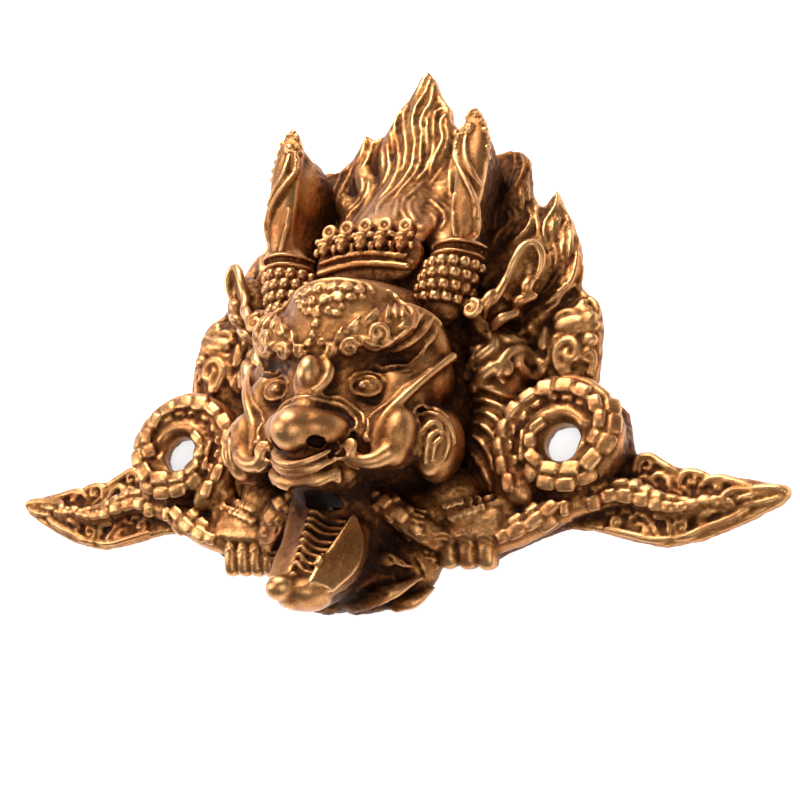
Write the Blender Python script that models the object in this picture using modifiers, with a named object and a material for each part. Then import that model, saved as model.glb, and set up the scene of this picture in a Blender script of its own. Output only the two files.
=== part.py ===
# Garuda mask: one hollow brass casting, lying on its back rim.
# The wall side is the plane z = 0, the crown points along +Y and the face looks up along +Z.
# The face, snakes and flames are free forms: their places are shares of the span from tail to tail.

import math

import bmesh
import bpy
import numpy as np
from mathutils import Matrix, Vector

MM = 0.001

# Driving sizes

SPAN = 320 * MM              # from tail tip to tail tip
WALL = 5 * MM                # metal left between the face and the hollow back
PLATE = 3.6 * MM             # flame plate, tails and web between the coils
HOLE = 14 * MM               # clear hole through each coil
HOLE_DEPTH = 8 * MM          # metal around that hole, over the recess behind the coil
COIL_HEIGHT = 17 * MM        # coil of the snake above the wall side
MOUTH_WIDTH = 19 * MM        # slit under the teeth, open to the hollow
MOUTH_HEIGHT = 6.5 * MM
HORN_HEIGHT = 34 * MM        # front face of the horns above the wall side
CROWN_HEIGHT = 37 * MM       # front of the crown above the wall side
CARVING_STEP = 1.25 * MM     # grid on which the carved forms are fused
TRIANGLES = 8500             # facets left after the fused form is thinned
HOLLOW_TRIANGLES = 700       # facets of the smooth hollow behind it

# One share of the span: 1 mm on the full-size mask. Places are (across, up, out) in shares,
# measured from the middle of the wall side at the height of the coil holes.

SHARE = SPAN / 320
COIL_CENTRE = (80, 0)
COIL_BED = 21.5              # radius of the flat bed under a coil, in shares

# Each round form of the head: centre, half size (across, up, out), reach down, squareness
HEAD_FORMS = {"skull": ((0, 10, 4), (42, 76, 31), 38, 2),
              "face": ((0, 8, 10), (40, 38, 42), 32, 3),
              "forehead": ((0, 36, 8), (38, 23, 48), 26, 4)}
THROAT = ((0, -33, -2), (15, 18, 31))

PEAK_EDGE = [(0, 160), (3.8, 155.8), (6.8, 149), (9.5, 145.5), (12, 143), (13.4, 137), (16, 133.5),
             (20, 132.3), (24.3, 135), (29, 124.5), (34, 120)]
RIGHT_FLAME_EDGE = [(41, 121.5), (45, 120.5), (49, 117), (51, 104), (54, 97.5), (56.3, 95.8),
                    (59, 99), (62.3, 102.5), (65, 96.5), (69, 90.5), (71.5, 84), (73.6, 80), (75, 64)]
LEFT_FLAME_EDGE = [(41, 120), (47, 114), (51, 103), (56, 97), (60, 88), (65, 87), (67, 81),
                   (71, 76), (75, 65)]
RIGHT_TIPS = [(46, 119), (54, 100), (62, 102), (69, 90), (73, 80)]
LEFT_TIPS = [(46, 114), (53, 101), (60, 90), (66, 87), (71, 76)]
RIGHT_WING_EDGE = [(78, 60.5), (81.6, 58), (84, 54.5), (85.6, 47), (86, 37), (85.8, 26)]
LEFT_WING_EDGE = [(78, 61), (82.4, 58.4), (85.4, 54), (87.4, 46), (87.8, 36), (87, 26)]
TAIL_EDGE = [(99, 14), (103, -2), (108, -1), (115, -5.2), (129, -8.9), (145, -11.2), (158.6, -13.6),
             (160, -16), (157, -20), (143, -27.2), (130, -32.4), (117, -34.8), (104, -32.4),
             (90, -28.6), (80, -28), (70, -31.8)]
RIGHT_HAND_EDGE = [(58, -36.8), (50, -41), (31, -40.8), (27.6, -44.6), (26.6, -52), (19, -54.4)]
LEFT_HAND_EDGE = [(60, -38), (53, -43.4), (36, -44.6), (29, -46), (26.6, -52), (19, -54.4)]
FINGER_END = 41.4            # ends of the right fingers below the coil holes, in shares
FINGER_DROP = 2.4            # the left fingers end this much lower

parts = bpy.data.collections.new("garuda_mask")
cutters = bpy.data.collections.new("garuda_mask_cutters")


def clear_scene():
    for old in list(bpy.data.objects):
        bpy.data.objects.remove(old)
    bpy.context.scene.collection.children.link(parts)
    bpy.context.scene.collection.children.link(cutters)


def place(across, up, out):
    """A point of the carving in metres."""
    return Vector((across, up, out)) * SHARE


def add_object(name, data, collection=parts):
    thing = bpy.data.objects.new(name, data)
    collection.objects.link(thing)
    return thing


def to_mesh(thing):
    """Replace a curve by the closed mesh that it evaluates to."""
    bpy.context.view_layer.update()
    graph = bpy.context.evaluated_depsgraph_get()
    mesh = bpy.data.meshes.new_from_object(thing.evaluated_get(graph))
    mesh.transform(thing.matrix_world)
    name = thing.name
    bpy.data.objects.remove(thing)
    shape = bmesh.new()
    shape.from_mesh(mesh)
    bmesh.ops.remove_doubles(shape, verts=shape.verts, dist=0.00001)
    bmesh.ops.recalc_face_normals(shape, faces=shape.faces)
    shape.to_mesh(mesh)
    shape.free()
    return add_object(name, mesh)


def sweep(name, path, radii, flat=1.0):
    """A smooth tube through the points of path; flat squeezes it towards the wall side."""
    curve = bpy.data.curves.new(name, "CURVE")
    curve.dimensions = "3D"
    curve.bevel_depth = 1.0
    curve.bevel_resolution = 2
    curve.use_fill_caps = True
    curve.resolution_u = 5
    spline = curve.splines.new("BEZIER")
    spline.bezier_points.add(len(path) - 1)
    for point, (across, up, out), radius in zip(spline.bezier_points, path, radii):
        point.co = place(across, up, out / flat)
        point.handle_left_type = "AUTO"
        point.handle_right_type = "AUTO"
        point.radius = radius * SHARE
    thing = add_object(name, curve)
    thing.scale = (1, 1, flat)
    return to_mesh(thing)


def blob(name, centre, reach, turn=(0, 0, 0), reach_down=None, square=2):
    """An egg: reach is its half size across, up and out, and reach_down that of its lower half.

    square is 2 for a round profile from bottom to top, and more for a boxier one.
    """
    mesh = bpy.data.meshes.new(name)
    shape = bmesh.new()
    bmesh.ops.create_uvsphere(shape, u_segments=28, v_segments=18, radius=1.0)
    for vert in shape.verts:
        across, up, out = vert.co
        half = reach_down if reach_down is not None and up < 0 else reach[1]
        rise = math.copysign(abs(up) ** (2 / square), up)
        vert.co = Vector((across * reach[0], rise * half, out * reach[2])) * SHARE
    shape.to_mesh(mesh)
    shape.free()
    spin = Matrix.Identity(4)
    for angle, axis in zip(turn, "XYZ"):
        spin = Matrix.Rotation(math.radians(angle), 4, axis) @ spin
    mesh.transform(Matrix.Translation(place(*centre)) @ spin)
    return add_object(name, mesh)


def slab(name, outline, low, high):
    """A flat plate with the given outline between two heights in metres."""
    curve = bpy.data.curves.new(name, "CURVE")
    curve.dimensions = "2D"
    curve.fill_mode = "BOTH"
    curve.extrude = (high - low) / 2
    spline = curve.splines.new("POLY")
    spline.points.add(len(outline) - 1)
    for point, (across, up) in zip(spline.points, outline):
        point.co = (across * SHARE, up * SHARE, 0, 1)
    spline.use_cyclic_u = True
    thing = add_object(name, curve)
    thing.location.z = (low + high) / 2
    return to_mesh(thing)


def disc(name, centre, radius, low, high, collection=parts):
    """A round plate or a round cutter between two heights; all sizes in metres."""
    mesh = bpy.data.meshes.new(name)
    shape = bmesh.new()
    bmesh.ops.create_cone(shape, cap_ends=True, segments=32, radius1=radius, radius2=radius,
                          depth=high - low)
    shape.to_mesh(mesh)
    shape.free()
    mesh.transform(Matrix.Translation(Vector((centre[0], centre[1], (low + high) / 2))))
    return add_object(name, mesh, collection)


def join(name, things):
    """Put the meshes of several objects into one object."""
    shape = bmesh.new()
    for thing in things:
        shape.from_mesh(thing.data)
        bpy.data.objects.remove(thing)
    mesh = bpy.data.meshes.new(name)
    shape.to_mesh(mesh)
    shape.free()
    return add_object(name, mesh)


def apply_modifier(thing, kind, **settings):
    """Add a modifier, set it and keep its result as the object's mesh."""
    modifier = thing.modifiers.new(kind.lower(), kind)
    for key, value in settings.items():
        setattr(modifier, key, value)
    bpy.context.view_layer.update()
    graph = bpy.context.evaluated_depsgraph_get()
    mesh = bpy.data.meshes.new_from_object(thing.evaluated_get(graph))
    thing.modifiers.clear()
    thing.data = mesh


# Flame plate and hair

def tongue(name, path, width):
    """One flame: a flattened lock that narrows to its tip."""
    steps = len(path) - 1
    radii = [width * (1 - (i / steps) ** 2) + 0.9 for i in range(steps + 1)]
    return sweep(name, path, radii, flat=0.55)


def flame_plate(edge, wing, tips):
    """One side of the plate behind the head, with its locks of flame; tips are the outer points."""
    outline = PEAK_EDGE + edge + wing + [(60, 0), (50, -30), (0, -40)]
    things = [slab("flame_fan", outline, 0, PLATE)]
    locks = [([(0, 84, 22), (-2, 105, 9), (3, 130, 4.5), (0, 159, 3)], 8),
             ([(8, 84, 20), (6, 106, 8), (12, 126, 4.5), (9, 146, 3)], 6),
             ([(14, 82, 18), (13, 100, 8), (22, 117, 4.5), (24, 134, 3)], 6),
             ([(22, 80, 14), (22, 96, 7), (31, 107, 4.5), (35, 118, 3)], 6)]
    for number, (across, up) in enumerate(tips):
        share = number / (len(tips) - 1)
        root = (36 + 22 * share, 74 - 26 * share, 10 - 2 * share)
        bend = (root[0] + 0.3 * (across - root[0]) + 3, root[1] + 0.3 * (up - root[1]), 6.5)
        swell = (root[0] + 0.7 * (across - root[0]) + 4, root[1] + 0.65 * (up - root[1]), 5)
        locks.append(([root, bend, swell, (across, up - 1, 3)], 6.4 - 1.4 * share))
    for number, (path, width) in enumerate(locks):
        things.append(tongue(f"flame_{number}", path, width))
    return things


def wing_panel():
    """Cloud scrolls on the plate beside the ear and above the coil."""
    return [blob("wing_pad", (73, 41, 3), (13, 18, 4.5)),
            blob("wing_boss", (79, 55, 3.5), (4.5, 4, 3.5)),
            scroll("wing_scroll_outer", (76, 35), 5.2, 6.0, 90, 2.0),
            scroll("wing_scroll_inner", (62, 30), 5.4, 7.0, 60, 2.2),
            scroll("wing_scroll_upper", (64, 42), 4.4, 6.0, 200, 1.8)]


def scroll(name, centre, size, out, start, thick):
    """A rolled-up curl of one and a half turns."""
    turns = 14
    path = []
    radii = []
    for i in range(turns):
        share = i / (turns - 1)
        angle = math.radians(start - 520 * share)
        reach = size * (1 - 0.82 * share)
        path.append((centre[0] + reach * math.cos(angle), centre[1] + reach * math.sin(angle),
                     out + share))
        radii.append(thick * (1 - 0.35 * share))
    return sweep(name, path, radii)


# Snake: tail, fist piece and coil

def coil_path():
    """Centre line and thickness of the coiled body, from the neck inwards, clockwise."""
    start_angle = 232
    sweep_angle = 560
    steps = 46
    share = np.linspace(0, 1, steps)
    angles = np.radians(start_angle - sweep_angle * share)
    reach = np.interp(share, [0, 0.1, 0.26, 0.42, 0.58, 0.75, 1], [22.6, 21.8, 18.6, 15.2, 12.8, 11.8, 10.2])
    thick = np.interp(share, [0, 0.1, 0.26, 0.42, 0.58, 0.75, 1], [5.4, 5.8, 5.8, 6.6, 5.9, 4.6, 2.6])
    top = COIL_HEIGHT / SHARE
    path = [(COIL_CENTRE[0] + r * math.cos(a), COIL_CENTRE[1] + r * math.sin(a), top - t)
            for r, a, t in zip(reach, angles, thick)]
    return path, list(thick)


def snake(hand_edge):
    path, thick = coil_path()
    scale_step = 2
    things = [sweep("coil", path, thick)]
    centre = place(*COIL_CENTRE, 0)
    things.append(disc("coil_bed", centre, COIL_BED * SHARE, 0, COIL_HEIGHT * 0.55))
    for number in range(1, len(path) - 8, scale_step):
        across, up, out = path[number]
        radius = thick[number]
        things.append(blob(f"coil_scale_{number}", (across, up, out + radius * 0.72),
                           (2.4, 2.4, 1.6)))
    tail = [(55, -33.5, 8), (65, -30, 8), (74, -25.5, 8), (84, -20.5, 7.5), (93, -18, 6.5),
            (103, -16.5, 5.5), (111, -19, 5), (120, -22, 4.6), (129, -21.5, 4.3), (138, -19, 4),
            (147, -18.4, 3.6)]
    tail_thick = [5.4, 5.8, 5.6, 5.2, 5, 4.9, 4.6, 4.2, 3.6, 2.8, 1.6]
    things.append(sweep("tail", tail, tail_thick, flat=0.9))
    things.append(slab("tail_plate", [(74, 14), (74, 24), (90, 22)] + TAIL_EDGE + hand_edge
                       + [(0, -53), (0, -20)], 0, PLATE))
    neck = [(59, -14, 9), (60, -21, 8), (60, -27, 7)]
    things.append(sweep("neck", neck, [5.4, 5, 4]))
    for number, (across, up) in enumerate([(109, -7), (125, -12), (137, -14.6)]):
        things.append(scroll(f"tail_leaf_up_{number}", (across, up), 3.2 - 0.4 * number, 4, 200, 1.3))
    for number, (across, up) in enumerate([(100, -28), (113, -28.5), (126, -28.5), (137, -26)]):
        things.append(scroll(f"tail_leaf_low_{number}", (across, up), 2.8 - 0.25 * number, 4, 20, 1.3))
    return things


def hand(drop):
    """The fist that holds the snake, with its beaded cuff; drop lowers the ends of the fingers."""
    things = [blob("palm", (46, -28.5, 7), (14, 8, 8), turn=(0, 4, 8)),
              blob("forearm", (38, -18, 10), (12, 12, 12), turn=(0, 0, 30)),
              sweep("cuff", [(38, -27, 14.5), (46, -23.5, 16), (58, -20.5, 12)], [2.4, 2.6, 2.2])]
    for number in range(4):
        across = 34.5 + 5.6 * number
        things.append(sweep(f"finger_{number}",
                            [(across, -31, 12.5), (across + 0.5 * drop, -37, 10.5),
                             (across + drop, -FINGER_END - drop, 5)],
                            [3.2, 3.0, 2.6]))
    return things


def neck_in_mouth():
    """The snake between the corner of the beak and the fist."""
    return [sweep("held_neck", [(12, -21, 30), (20, -25, 30), (28, -30, 26), (35, -32, 17)],
                  [4, 5, 5.2, 5]),
            blob("held_ground", (24, -34, 5), (15, 12, 8)),
            sweep("held_edge", [(28, -24, 13), (28.5, -33, 12.5), (29, -43, 9)], [2.4, 2.4, 2])]


# Head

def head_forms(shrink=0):
    """The skull, face and forehead, or the same eggs made smaller on every side."""
    things = []
    for name, (centre, reach, down, square) in HEAD_FORMS.items():
        half = [size - shrink for size in reach]
        things.append(blob(name, centre, half, reach_down=down - shrink, square=square))
    return things


def brow():
    """The heavy brow that fans out from the forehead jewel to the temple."""
    return [sweep("brow", [(8, 20, 50), (17, 28, 46), (26, 34, 39.5), (33, 33.5, 32), (38, 28, 25)],
                  [4.6, 7.6, 9.4, 8, 5]),
            sweep("brow_edge", [(9, 17.5, 54), (17, 20, 53), (27, 21.5, 46), (37, 22, 36)],
                  [2.2, 2.8, 2.8, 2.2]),
            scroll("brow_curl_inner", (13.8, 23), 3.6, 54.5, 90, 1.6),
            scroll("brow_curl_outer", (22.5, 31), 3.4, 52.5, 90, 1.6),
            sweep("brow_locks", [(17, 31, 52), (24, 38, 48), (32, 43, 41)], [2.6, 3.4, 2.6])]


def eye():
    return [blob("eyeball", (18, 11, 44.5), (5.6, 5, 5.4)),
            blob("eye_socket", (22, 14, 35), (14, 11, 12)),
            blob("eye_corner", (9, 12, 44), (8, 9, 6)),
            blob("temple", (31, 21, 27), (9.6, 12, 12)),
            sweep("lid", [(11, 9.5, 50), (17, 15.5, 50.5), (25, 14, 44), (29, 12, 40)],
                  [1.2, 1.6, 1.5, 1.0]),
            sweep("lid_low", [(12, 8, 49.5), (18, 5.8, 48.5), (25, 10, 44)], [1.1, 1.4, 1.2])]


def cheek():
    """The flap from temple to the corner of the mouth, its pad, and the round ear-ring."""
    return [sweep("cheek_ridge", [(44, 30, 20), (41, 24, 29), (36, 14, 37), (31, 5, 43), (29, -4, 46)],
                  [2.4, 3, 3.2, 4.2, 6]),
            blob("cheek_pad", (28.6, -5.5, 39.6), (9, 13, 9.6), turn=(0, 12, 6)),
            sweep("cheek_roll", [(31, -13, 45), (25, -17.5, 47), (18, -16, 51), (16, -11, 54)],
                  [4, 3.4, 2.6, 2]),
            blob("ear_ring", (37, -3, 24.5), (11, 14, 12.5), turn=(0, 25, 0)),
            sweep("ear_ring_leaf", [(38, 6, 35), (41, -2, 36), (39, -11, 33)], [2.4, 3, 2.2])]


def nose():
    return [blob("nose_tip", (0, -8.6, 60), (8.6, 8.8, 8)),
            blob("nose_bridge", (0, 1, 53), (8, 10, 8)),
            blob("forehead_jewel", (0, 14, 56.5), (5.4, 7.4, 5)),
            sweep("jewel_hood", [(-6.4, 12, 55), (-5.4, 20, 55), (0, 22.6, 55.5), (5.4, 20, 55),
                                 (6.4, 12, 55)], [1.2, 1.5, 1.5, 1.5, 1.2])]


def nostril():
    return [blob("nose_side", (5, -7, 57.5), (9, 6.8, 7), turn=(0, 14, 0)),
            blob("nose_wing", (11, -5.4, 54.5), (6, 5.4, 5.4)),
            sweep("nose_fold", [(3, 2, 60), (10, 3, 57), (17.5, -2, 52), (17, -9, 52), (13, -13, 53)],
                  [1.2, 1.6, 1.8, 1.8, 1.4])]


def upper_jaw():
    """The lip and the row of teeth over the slit of the mouth."""
    return [blob("muzzle", (0, -10, 38), (18, 14, 19)),
            sweep("lip", [(-17, -12, 50), (-11, -18, 56), (0, -20.5, 60), (11, -18, 56), (17, -12, 50)],
                  [2, 2.8, 3, 2.8, 2]),
            sweep("teeth", [(-15, -17, 46), (-9, -22, 51), (0, -24, 54), (9, -22, 51), (15, -17, 46)],
                  [2.6, 2.8, 2.8, 2.8, 2.6])]


def lower_jaw():
    """The open lower beak: a ribbed trough between two rails that meet in the tip."""
    things = [sweep("jaw_body", [(0, -18, 16), (0, -33, 21), (0, -45, 26), (0, -57, 38), (0, -64, 50)],
                    [22, 20, 15, 10, 5]),
              sweep("jaw_floor", [(0, -30, 36), (0, -44, 39), (0, -56, 46)], [10, 8, 5], flat=0.8),
              blob("beak_tip", (0, -64.5, 53), (6.4, 4.8, 5)),
              blob("chin", (-1, -64.4, 40), (6, 3.5, 9))]
    ribs = 8
    for number in range(ribs):
        share = number / (ribs - 1)
        up = -33 - 25 * share
        out = 43.6 + 8 * share ** 1.6
        half = 5.2 - 2.4 * share
        things.append(sweep(f"jaw_rib_{number}", [(-half, up, out - 0.8), (0, up - 0.8, out),
                                                  (half, up, out - 0.8)], [1.1, 1.2, 1.1]))
    return things


def jaw_side():
    return [sweep("jaw_rail", [(17, -27, 34), (13.5, -33, 43), (9.5, -46, 47), (6, -57, 51), (3, -63, 54)],
                  [2.6, 2.6, 2.6, 2.6, 2.6]),
            sweep("jaw_flank", [(13, -36, 33), (12, -48, 34), (8, -58, 40)], [6, 6, 4]),
            sweep("beard_leaf", [(9, -52, 36), (18, -53, 26), (27, -52, 17), (33, -53, 10)],
                  [6, 5.6, 4.4, 2.6]),
            sweep("beard_rim", [(28, -49, 5), (21, -51.4, 8), (13, -56, 10), (5, -58.4, 14)],
                  [3.6, 4, 4, 4]),
            blob("beard", (7, -46, 9), (19, 16, 14))]


# Crown, horns and ears

def crown():
    """The diadem: a band, a twisted cord, five heads and the loops above them."""
    top = CROWN_HEIGHT / SHARE
    arch = [(-21, 63, top - 7.5), (-11, 64.6, top - 5), (0, 65, top - 4), (11, 64.6, top - 5),
            (21, 63, top - 7.5)]
    things = [sweep("diadem_band", arch, [2.4] * 5),
              sweep("diadem_cord", [(x * 0.94, y + 4.4, z + 0.6) for x, y, z in arch], [1.5] * 5),
              blob("diadem_back", (0, 70, top - 11), (22, 13, 7))]
    for number in range(-2, 3):
        across = number * 8.1
        drop = 0.006 * across ** 2
        things.append(blob(f"diadem_head_{number + 2}", (across, 74.2 - drop * 0.4, top - 2.6 - drop),
                           (3.1, 3.4, 3)))
        things.append(blob(f"diadem_loop_{number + 2}", (across, 80 - drop * 0.4, top - 4.4 - drop),
                           (2.8, 2.6, 2.4)))
    return things


def horn():
    """A leaf-shaped horn on a beaded sleeve, joined to the plate behind by a thin web."""
    top = HORN_HEIGHT / SHARE
    things = [sweep("sleeve", [(30, 49, top - 10), (34, 60, top - 10), (36.5, 71, top - 11)],
                    [9, 10.4, 8.6]),
              sweep("horn_leaf", [(36.5, 68, top - 6), (36, 82, top - 3.5), (37.5, 97, top - 3.5),
                                  (39.6, 110, top - 3), (39, 121.6, top - 1.6)],
                    [5, 6.4, 7.4, 6.4, 3.4], flat=0.6),
              blob("horn_web_top", (36, 112, 16), (5, 13, 15))]
    for number, (across, up, radius) in enumerate([(36, 76, 5), (37, 86, 5), (37.5, 96, 5),
                                                   (38, 106, 5), (38.6, 114.5, 5)]):
        things.append(sweep(f"horn_web_{number}",
                            [(across - 2, up, 1.5), (across - 0.5, up + 1, top * 0.5),
                             (across, up + 1, top - 4)], [radius * 1.3, radius, radius]))
    for ring, (up, out_back) in enumerate([(51, 0.4), (57, 0), (63, 0.3), (69, 1.4)]):
        for number in range(5):
            angle = math.radians(-62 + 31 * number)
            middle = 30.5 + (up - 49) * 0.27
            things.append(blob(f"sleeve_bead_{ring}_{number}",
                               (middle + 9.6 * math.sin(angle), up,
                                top - 10.5 - out_back + 9.8 * math.cos(angle)), (2.1, 2.1, 2.1)))
    return things


def ear():
    return [blob("ear_leaf", (57, 63, 12), (7, 15, 8), turn=(0, -10, -38)),
            sweep("ear_rim", [(46, 50, 21), (53, 59, 22), (58.5, 68, 22), (64, 71.5, 21),
                              (67, 67.5, 18), (65.4, 60, 15)], [2.4, 2.2, 2, 2, 1.8, 1.4]),
            sweep("ear_frill", [(52, 47, 17), (60, 51, 17), (66, 57, 17), (70, 64, 16)],
                  [3.2, 3.6, 3.2, 2]),
            blob("ear_root", (46, 48, 14), (9, 9, 12)),
            scroll("temple_curl", (45, 46), 3.4, 28, 90, 1.8),
            scroll("temple_curl_back", (50.5, 50), 3.2, 24, 90, 1.7)]


def brass(name):
    """Cast brass, golden brown."""
    material = bpy.data.materials.new(name)
    material.use_nodes = True
    shader = material.node_tree.nodes["Principled BSDF"]
    shader.inputs["Base Color"].default_value = (0.38, 0.18, 0.05, 1)
    shader.inputs["Metallic"].default_value = 0.9
    shader.inputs["Roughness"].default_value = 0.42
    return material


# What is taken away

def mouth_cutter():
    """The slit behind the teeth, open to the hollow."""
    reach = (MOUTH_WIDTH / SHARE / 2, MOUTH_HEIGHT / SHARE / 2, 20)
    return blob("mouth_cutter", (0, -28, 40), reach)


def hollow_cutter():
    """The inside of the head and throat, one wall smaller than the outside."""
    wall = WALL / SHARE
    forms = head_forms(shrink=wall)
    centre, reach = THROAT
    forms.append(blob("throat", centre, reach))
    return fuse("hollow_cutter", forms, 2 * CARVING_STEP, HOLLOW_TRIANGLES)


def back_cutter():
    """Everything below the wall side."""
    mesh = bpy.data.meshes.new("back_cutter")
    shape = bmesh.new()
    bmesh.ops.create_cube(shape, size=1)
    shape.to_mesh(mesh)
    shape.free()
    depth = SPAN / 2
    mesh.transform(Matrix.Translation((0, 0, -depth / 2)) @ Matrix.Diagonal((2 * SPAN, 2 * SPAN, depth, 1)))
    return add_object("back_cutter", mesh)


def coil_hole_cutters():
    things = []
    recess = COIL_BED * SHARE - WALL
    for side in (-1, 1):
        centre = place(side * COIL_CENTRE[0], COIL_CENTRE[1], 0)
        things.append(disc(f"coil_recess_cutter_{side}", centre, recess, -PLATE, COIL_HEIGHT - HOLE_DEPTH))
        things.append(disc(f"coil_hole_cutter_{side}", centre, HOLE / 2, -PLATE, 2 * COIL_HEIGHT))
    return things


def fuse(name, things, step, triangles):
    """Melt overlapping forms into one skin of a given fineness, thinned to a number of facets."""
    thing = join(name, things)
    apply_modifier(thing, "REMESH", mode="VOXEL", voxel_size=step)
    squares = len(thing.data.polygons)
    apply_modifier(thing, "DECIMATE", ratio=triangles / (2 * squares))
    return thing


def cut(mask, cutter):
    """Take the cutter out of the mask and put it away with the cutters."""
    apply_modifier(mask, "BOOLEAN", operation="DIFFERENCE", object=cutter, solver="EXACT")
    parts.objects.unlink(cutter)
    cutters.objects.link(cutter)
    cutter.hide_render = True
    cutter.display_type = "WIRE"


def seat(mask):
    """Move the mask so that the middle of its box stands over the origin."""
    corners = [Vector(corner) for corner in mask.bound_box]
    low = Vector(min(corner[i] for corner in corners) for i in range(3))
    high = Vector(max(corner[i] for corner in corners) for i in range(3))
    shift = Matrix.Translation((-(low.x + high.x) / 2, -(low.y + high.y) / 2, -low.z))
    mask.data.transform(shift)
    for cutter in cutters.objects:
        cutter.data.transform(shift)


def side_forms(hand_edge, drop):
    return (wing_panel() + snake(hand_edge) + hand(drop) + neck_in_mouth() + brow() + eye() + cheek()
            + nostril() + jaw_side() + horn() + ear())


def build():
    clear_scene()
    right = join("right_side", flame_plate(RIGHT_FLAME_EDGE, RIGHT_WING_EDGE, RIGHT_TIPS)
                 + side_forms(RIGHT_HAND_EDGE, 0))
    left = join("left_side", flame_plate(LEFT_FLAME_EDGE, LEFT_WING_EDGE, LEFT_TIPS)
                + side_forms(LEFT_HAND_EDGE, FINGER_DROP))
    left.data.transform(Matrix.Diagonal((-1, 1, 1, 1)))
    left.data.flip_normals()
    middle = join("middle", head_forms() + nose() + upper_jaw() + lower_jaw() + crown())
    mask = fuse("garuda_mask", [right, left, middle], CARVING_STEP, TRIANGLES)
    for cutter in [hollow_cutter(), mouth_cutter(), back_cutter()] + coil_hole_cutters():
        cut(mask, cutter)
    seat(mask)
    mask.data.materials.clear()
    mask.data.materials.append(brass("cast_brass"))
    for cutter in cutters.objects:
        cutter.data.materials.clear()


build()
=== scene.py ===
import math

import bpy
import numpy as np
from mathutils import Euler, Matrix, Vector
from mathutils.bvhtree import BVHTree


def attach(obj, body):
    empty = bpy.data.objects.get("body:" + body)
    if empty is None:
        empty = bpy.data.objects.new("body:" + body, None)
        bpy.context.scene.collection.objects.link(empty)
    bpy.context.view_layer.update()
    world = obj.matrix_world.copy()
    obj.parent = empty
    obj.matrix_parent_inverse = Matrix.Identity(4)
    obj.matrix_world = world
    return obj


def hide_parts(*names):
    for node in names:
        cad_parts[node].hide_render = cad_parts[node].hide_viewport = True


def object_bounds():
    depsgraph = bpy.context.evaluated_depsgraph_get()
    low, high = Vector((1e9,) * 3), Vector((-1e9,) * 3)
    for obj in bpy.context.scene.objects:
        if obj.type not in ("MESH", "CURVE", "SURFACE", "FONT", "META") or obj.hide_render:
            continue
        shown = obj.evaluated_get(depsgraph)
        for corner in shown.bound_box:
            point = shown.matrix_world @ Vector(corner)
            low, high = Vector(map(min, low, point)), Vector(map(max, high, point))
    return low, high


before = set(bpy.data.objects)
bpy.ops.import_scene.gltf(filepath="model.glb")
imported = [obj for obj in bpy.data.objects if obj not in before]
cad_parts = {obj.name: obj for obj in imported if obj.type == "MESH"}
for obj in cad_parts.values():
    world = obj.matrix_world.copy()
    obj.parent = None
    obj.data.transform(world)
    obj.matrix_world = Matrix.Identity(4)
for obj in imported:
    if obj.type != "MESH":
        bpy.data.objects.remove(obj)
cad_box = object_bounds()

MM = 0.001
# All of the following in millimetres
HOLE_LINE = -45.4            # height of the coil holes in the frame
WALL = 5.0                   # metal between the face and the hollow
PLATE = 3.6                  # thickness of the flame plate and tails
COIL = (80.0, 0.0)           # middle of the hole through a coil
COIL_TOP = 17.0              # how far a coil stands out from the wall
COIL_BED = 21.5              # radius of the flat bed under a coil
COIL_HOLLOW = 16.5           # radius of the hollow behind a coil
HOLE_RADIUS = 7.0
HOLE_DEPTH = 8.0             # metal round the hole, between the front of the coil and its hollow
BEHIND, BEFORE = -4, 40      # where a cut begins behind the wall side and ends before the front
CLEAR_OF_HOLLOW = 0.5        # how far other pieces stay out of the hollow of the head
HOLLOW_GRAIN = 1.5
HORN_TOP = 34.0
HORN_RADIUS = 10.2           # of the beaded sleeve
RING_RADIUS = 9.6            # of the dotted bands over the sleeve
CROWN_TOP = 37.0
HEAD_SPACING = 8.1           # between the heads of the diadem
LEFT_DROP = 2.4              # how much lower the left hand hangs than the right
MAP_STEP = 0.5               # cell of the height map that tells proud metal from deep
MAP_EDGE = 6                 # how far that map reaches past the casting
DROP = 4.0                   # height taken where a line leaves the surface under it

BOX_MARGIN = 1e-5            # metres that every point keeps inside the solids' box
MOST_TRIANGLES = 198000      # of one piece: flat parts give up theirs first


# Forms: each is (points, faces) in millimetres and is closed

def curve_through(points, steps):
    """Points along a smooth curve through the given ones."""
    p = np.array(points, float)
    ends = np.vstack([2 * p[0] - p[1], p, 2 * p[-1] - p[-2]])
    t = np.linspace(0, 1, steps, endpoint=False)[:, None]
    parts = []
    for i in range(len(p) - 1):
        a, b, c, d = ends[i:i + 4]
        parts.append(0.5 * (2 * b + (c - a) * t + (2 * a - 5 * b + 4 * c - d) * t ** 2
                            + (3 * b - a - 3 * c + d) * t ** 3))
    return np.vstack(parts + [p[-1:]])


def unit(v):
    return v / np.maximum(np.linalg.norm(v, axis=-1, keepdims=True), 1e-9)


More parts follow.
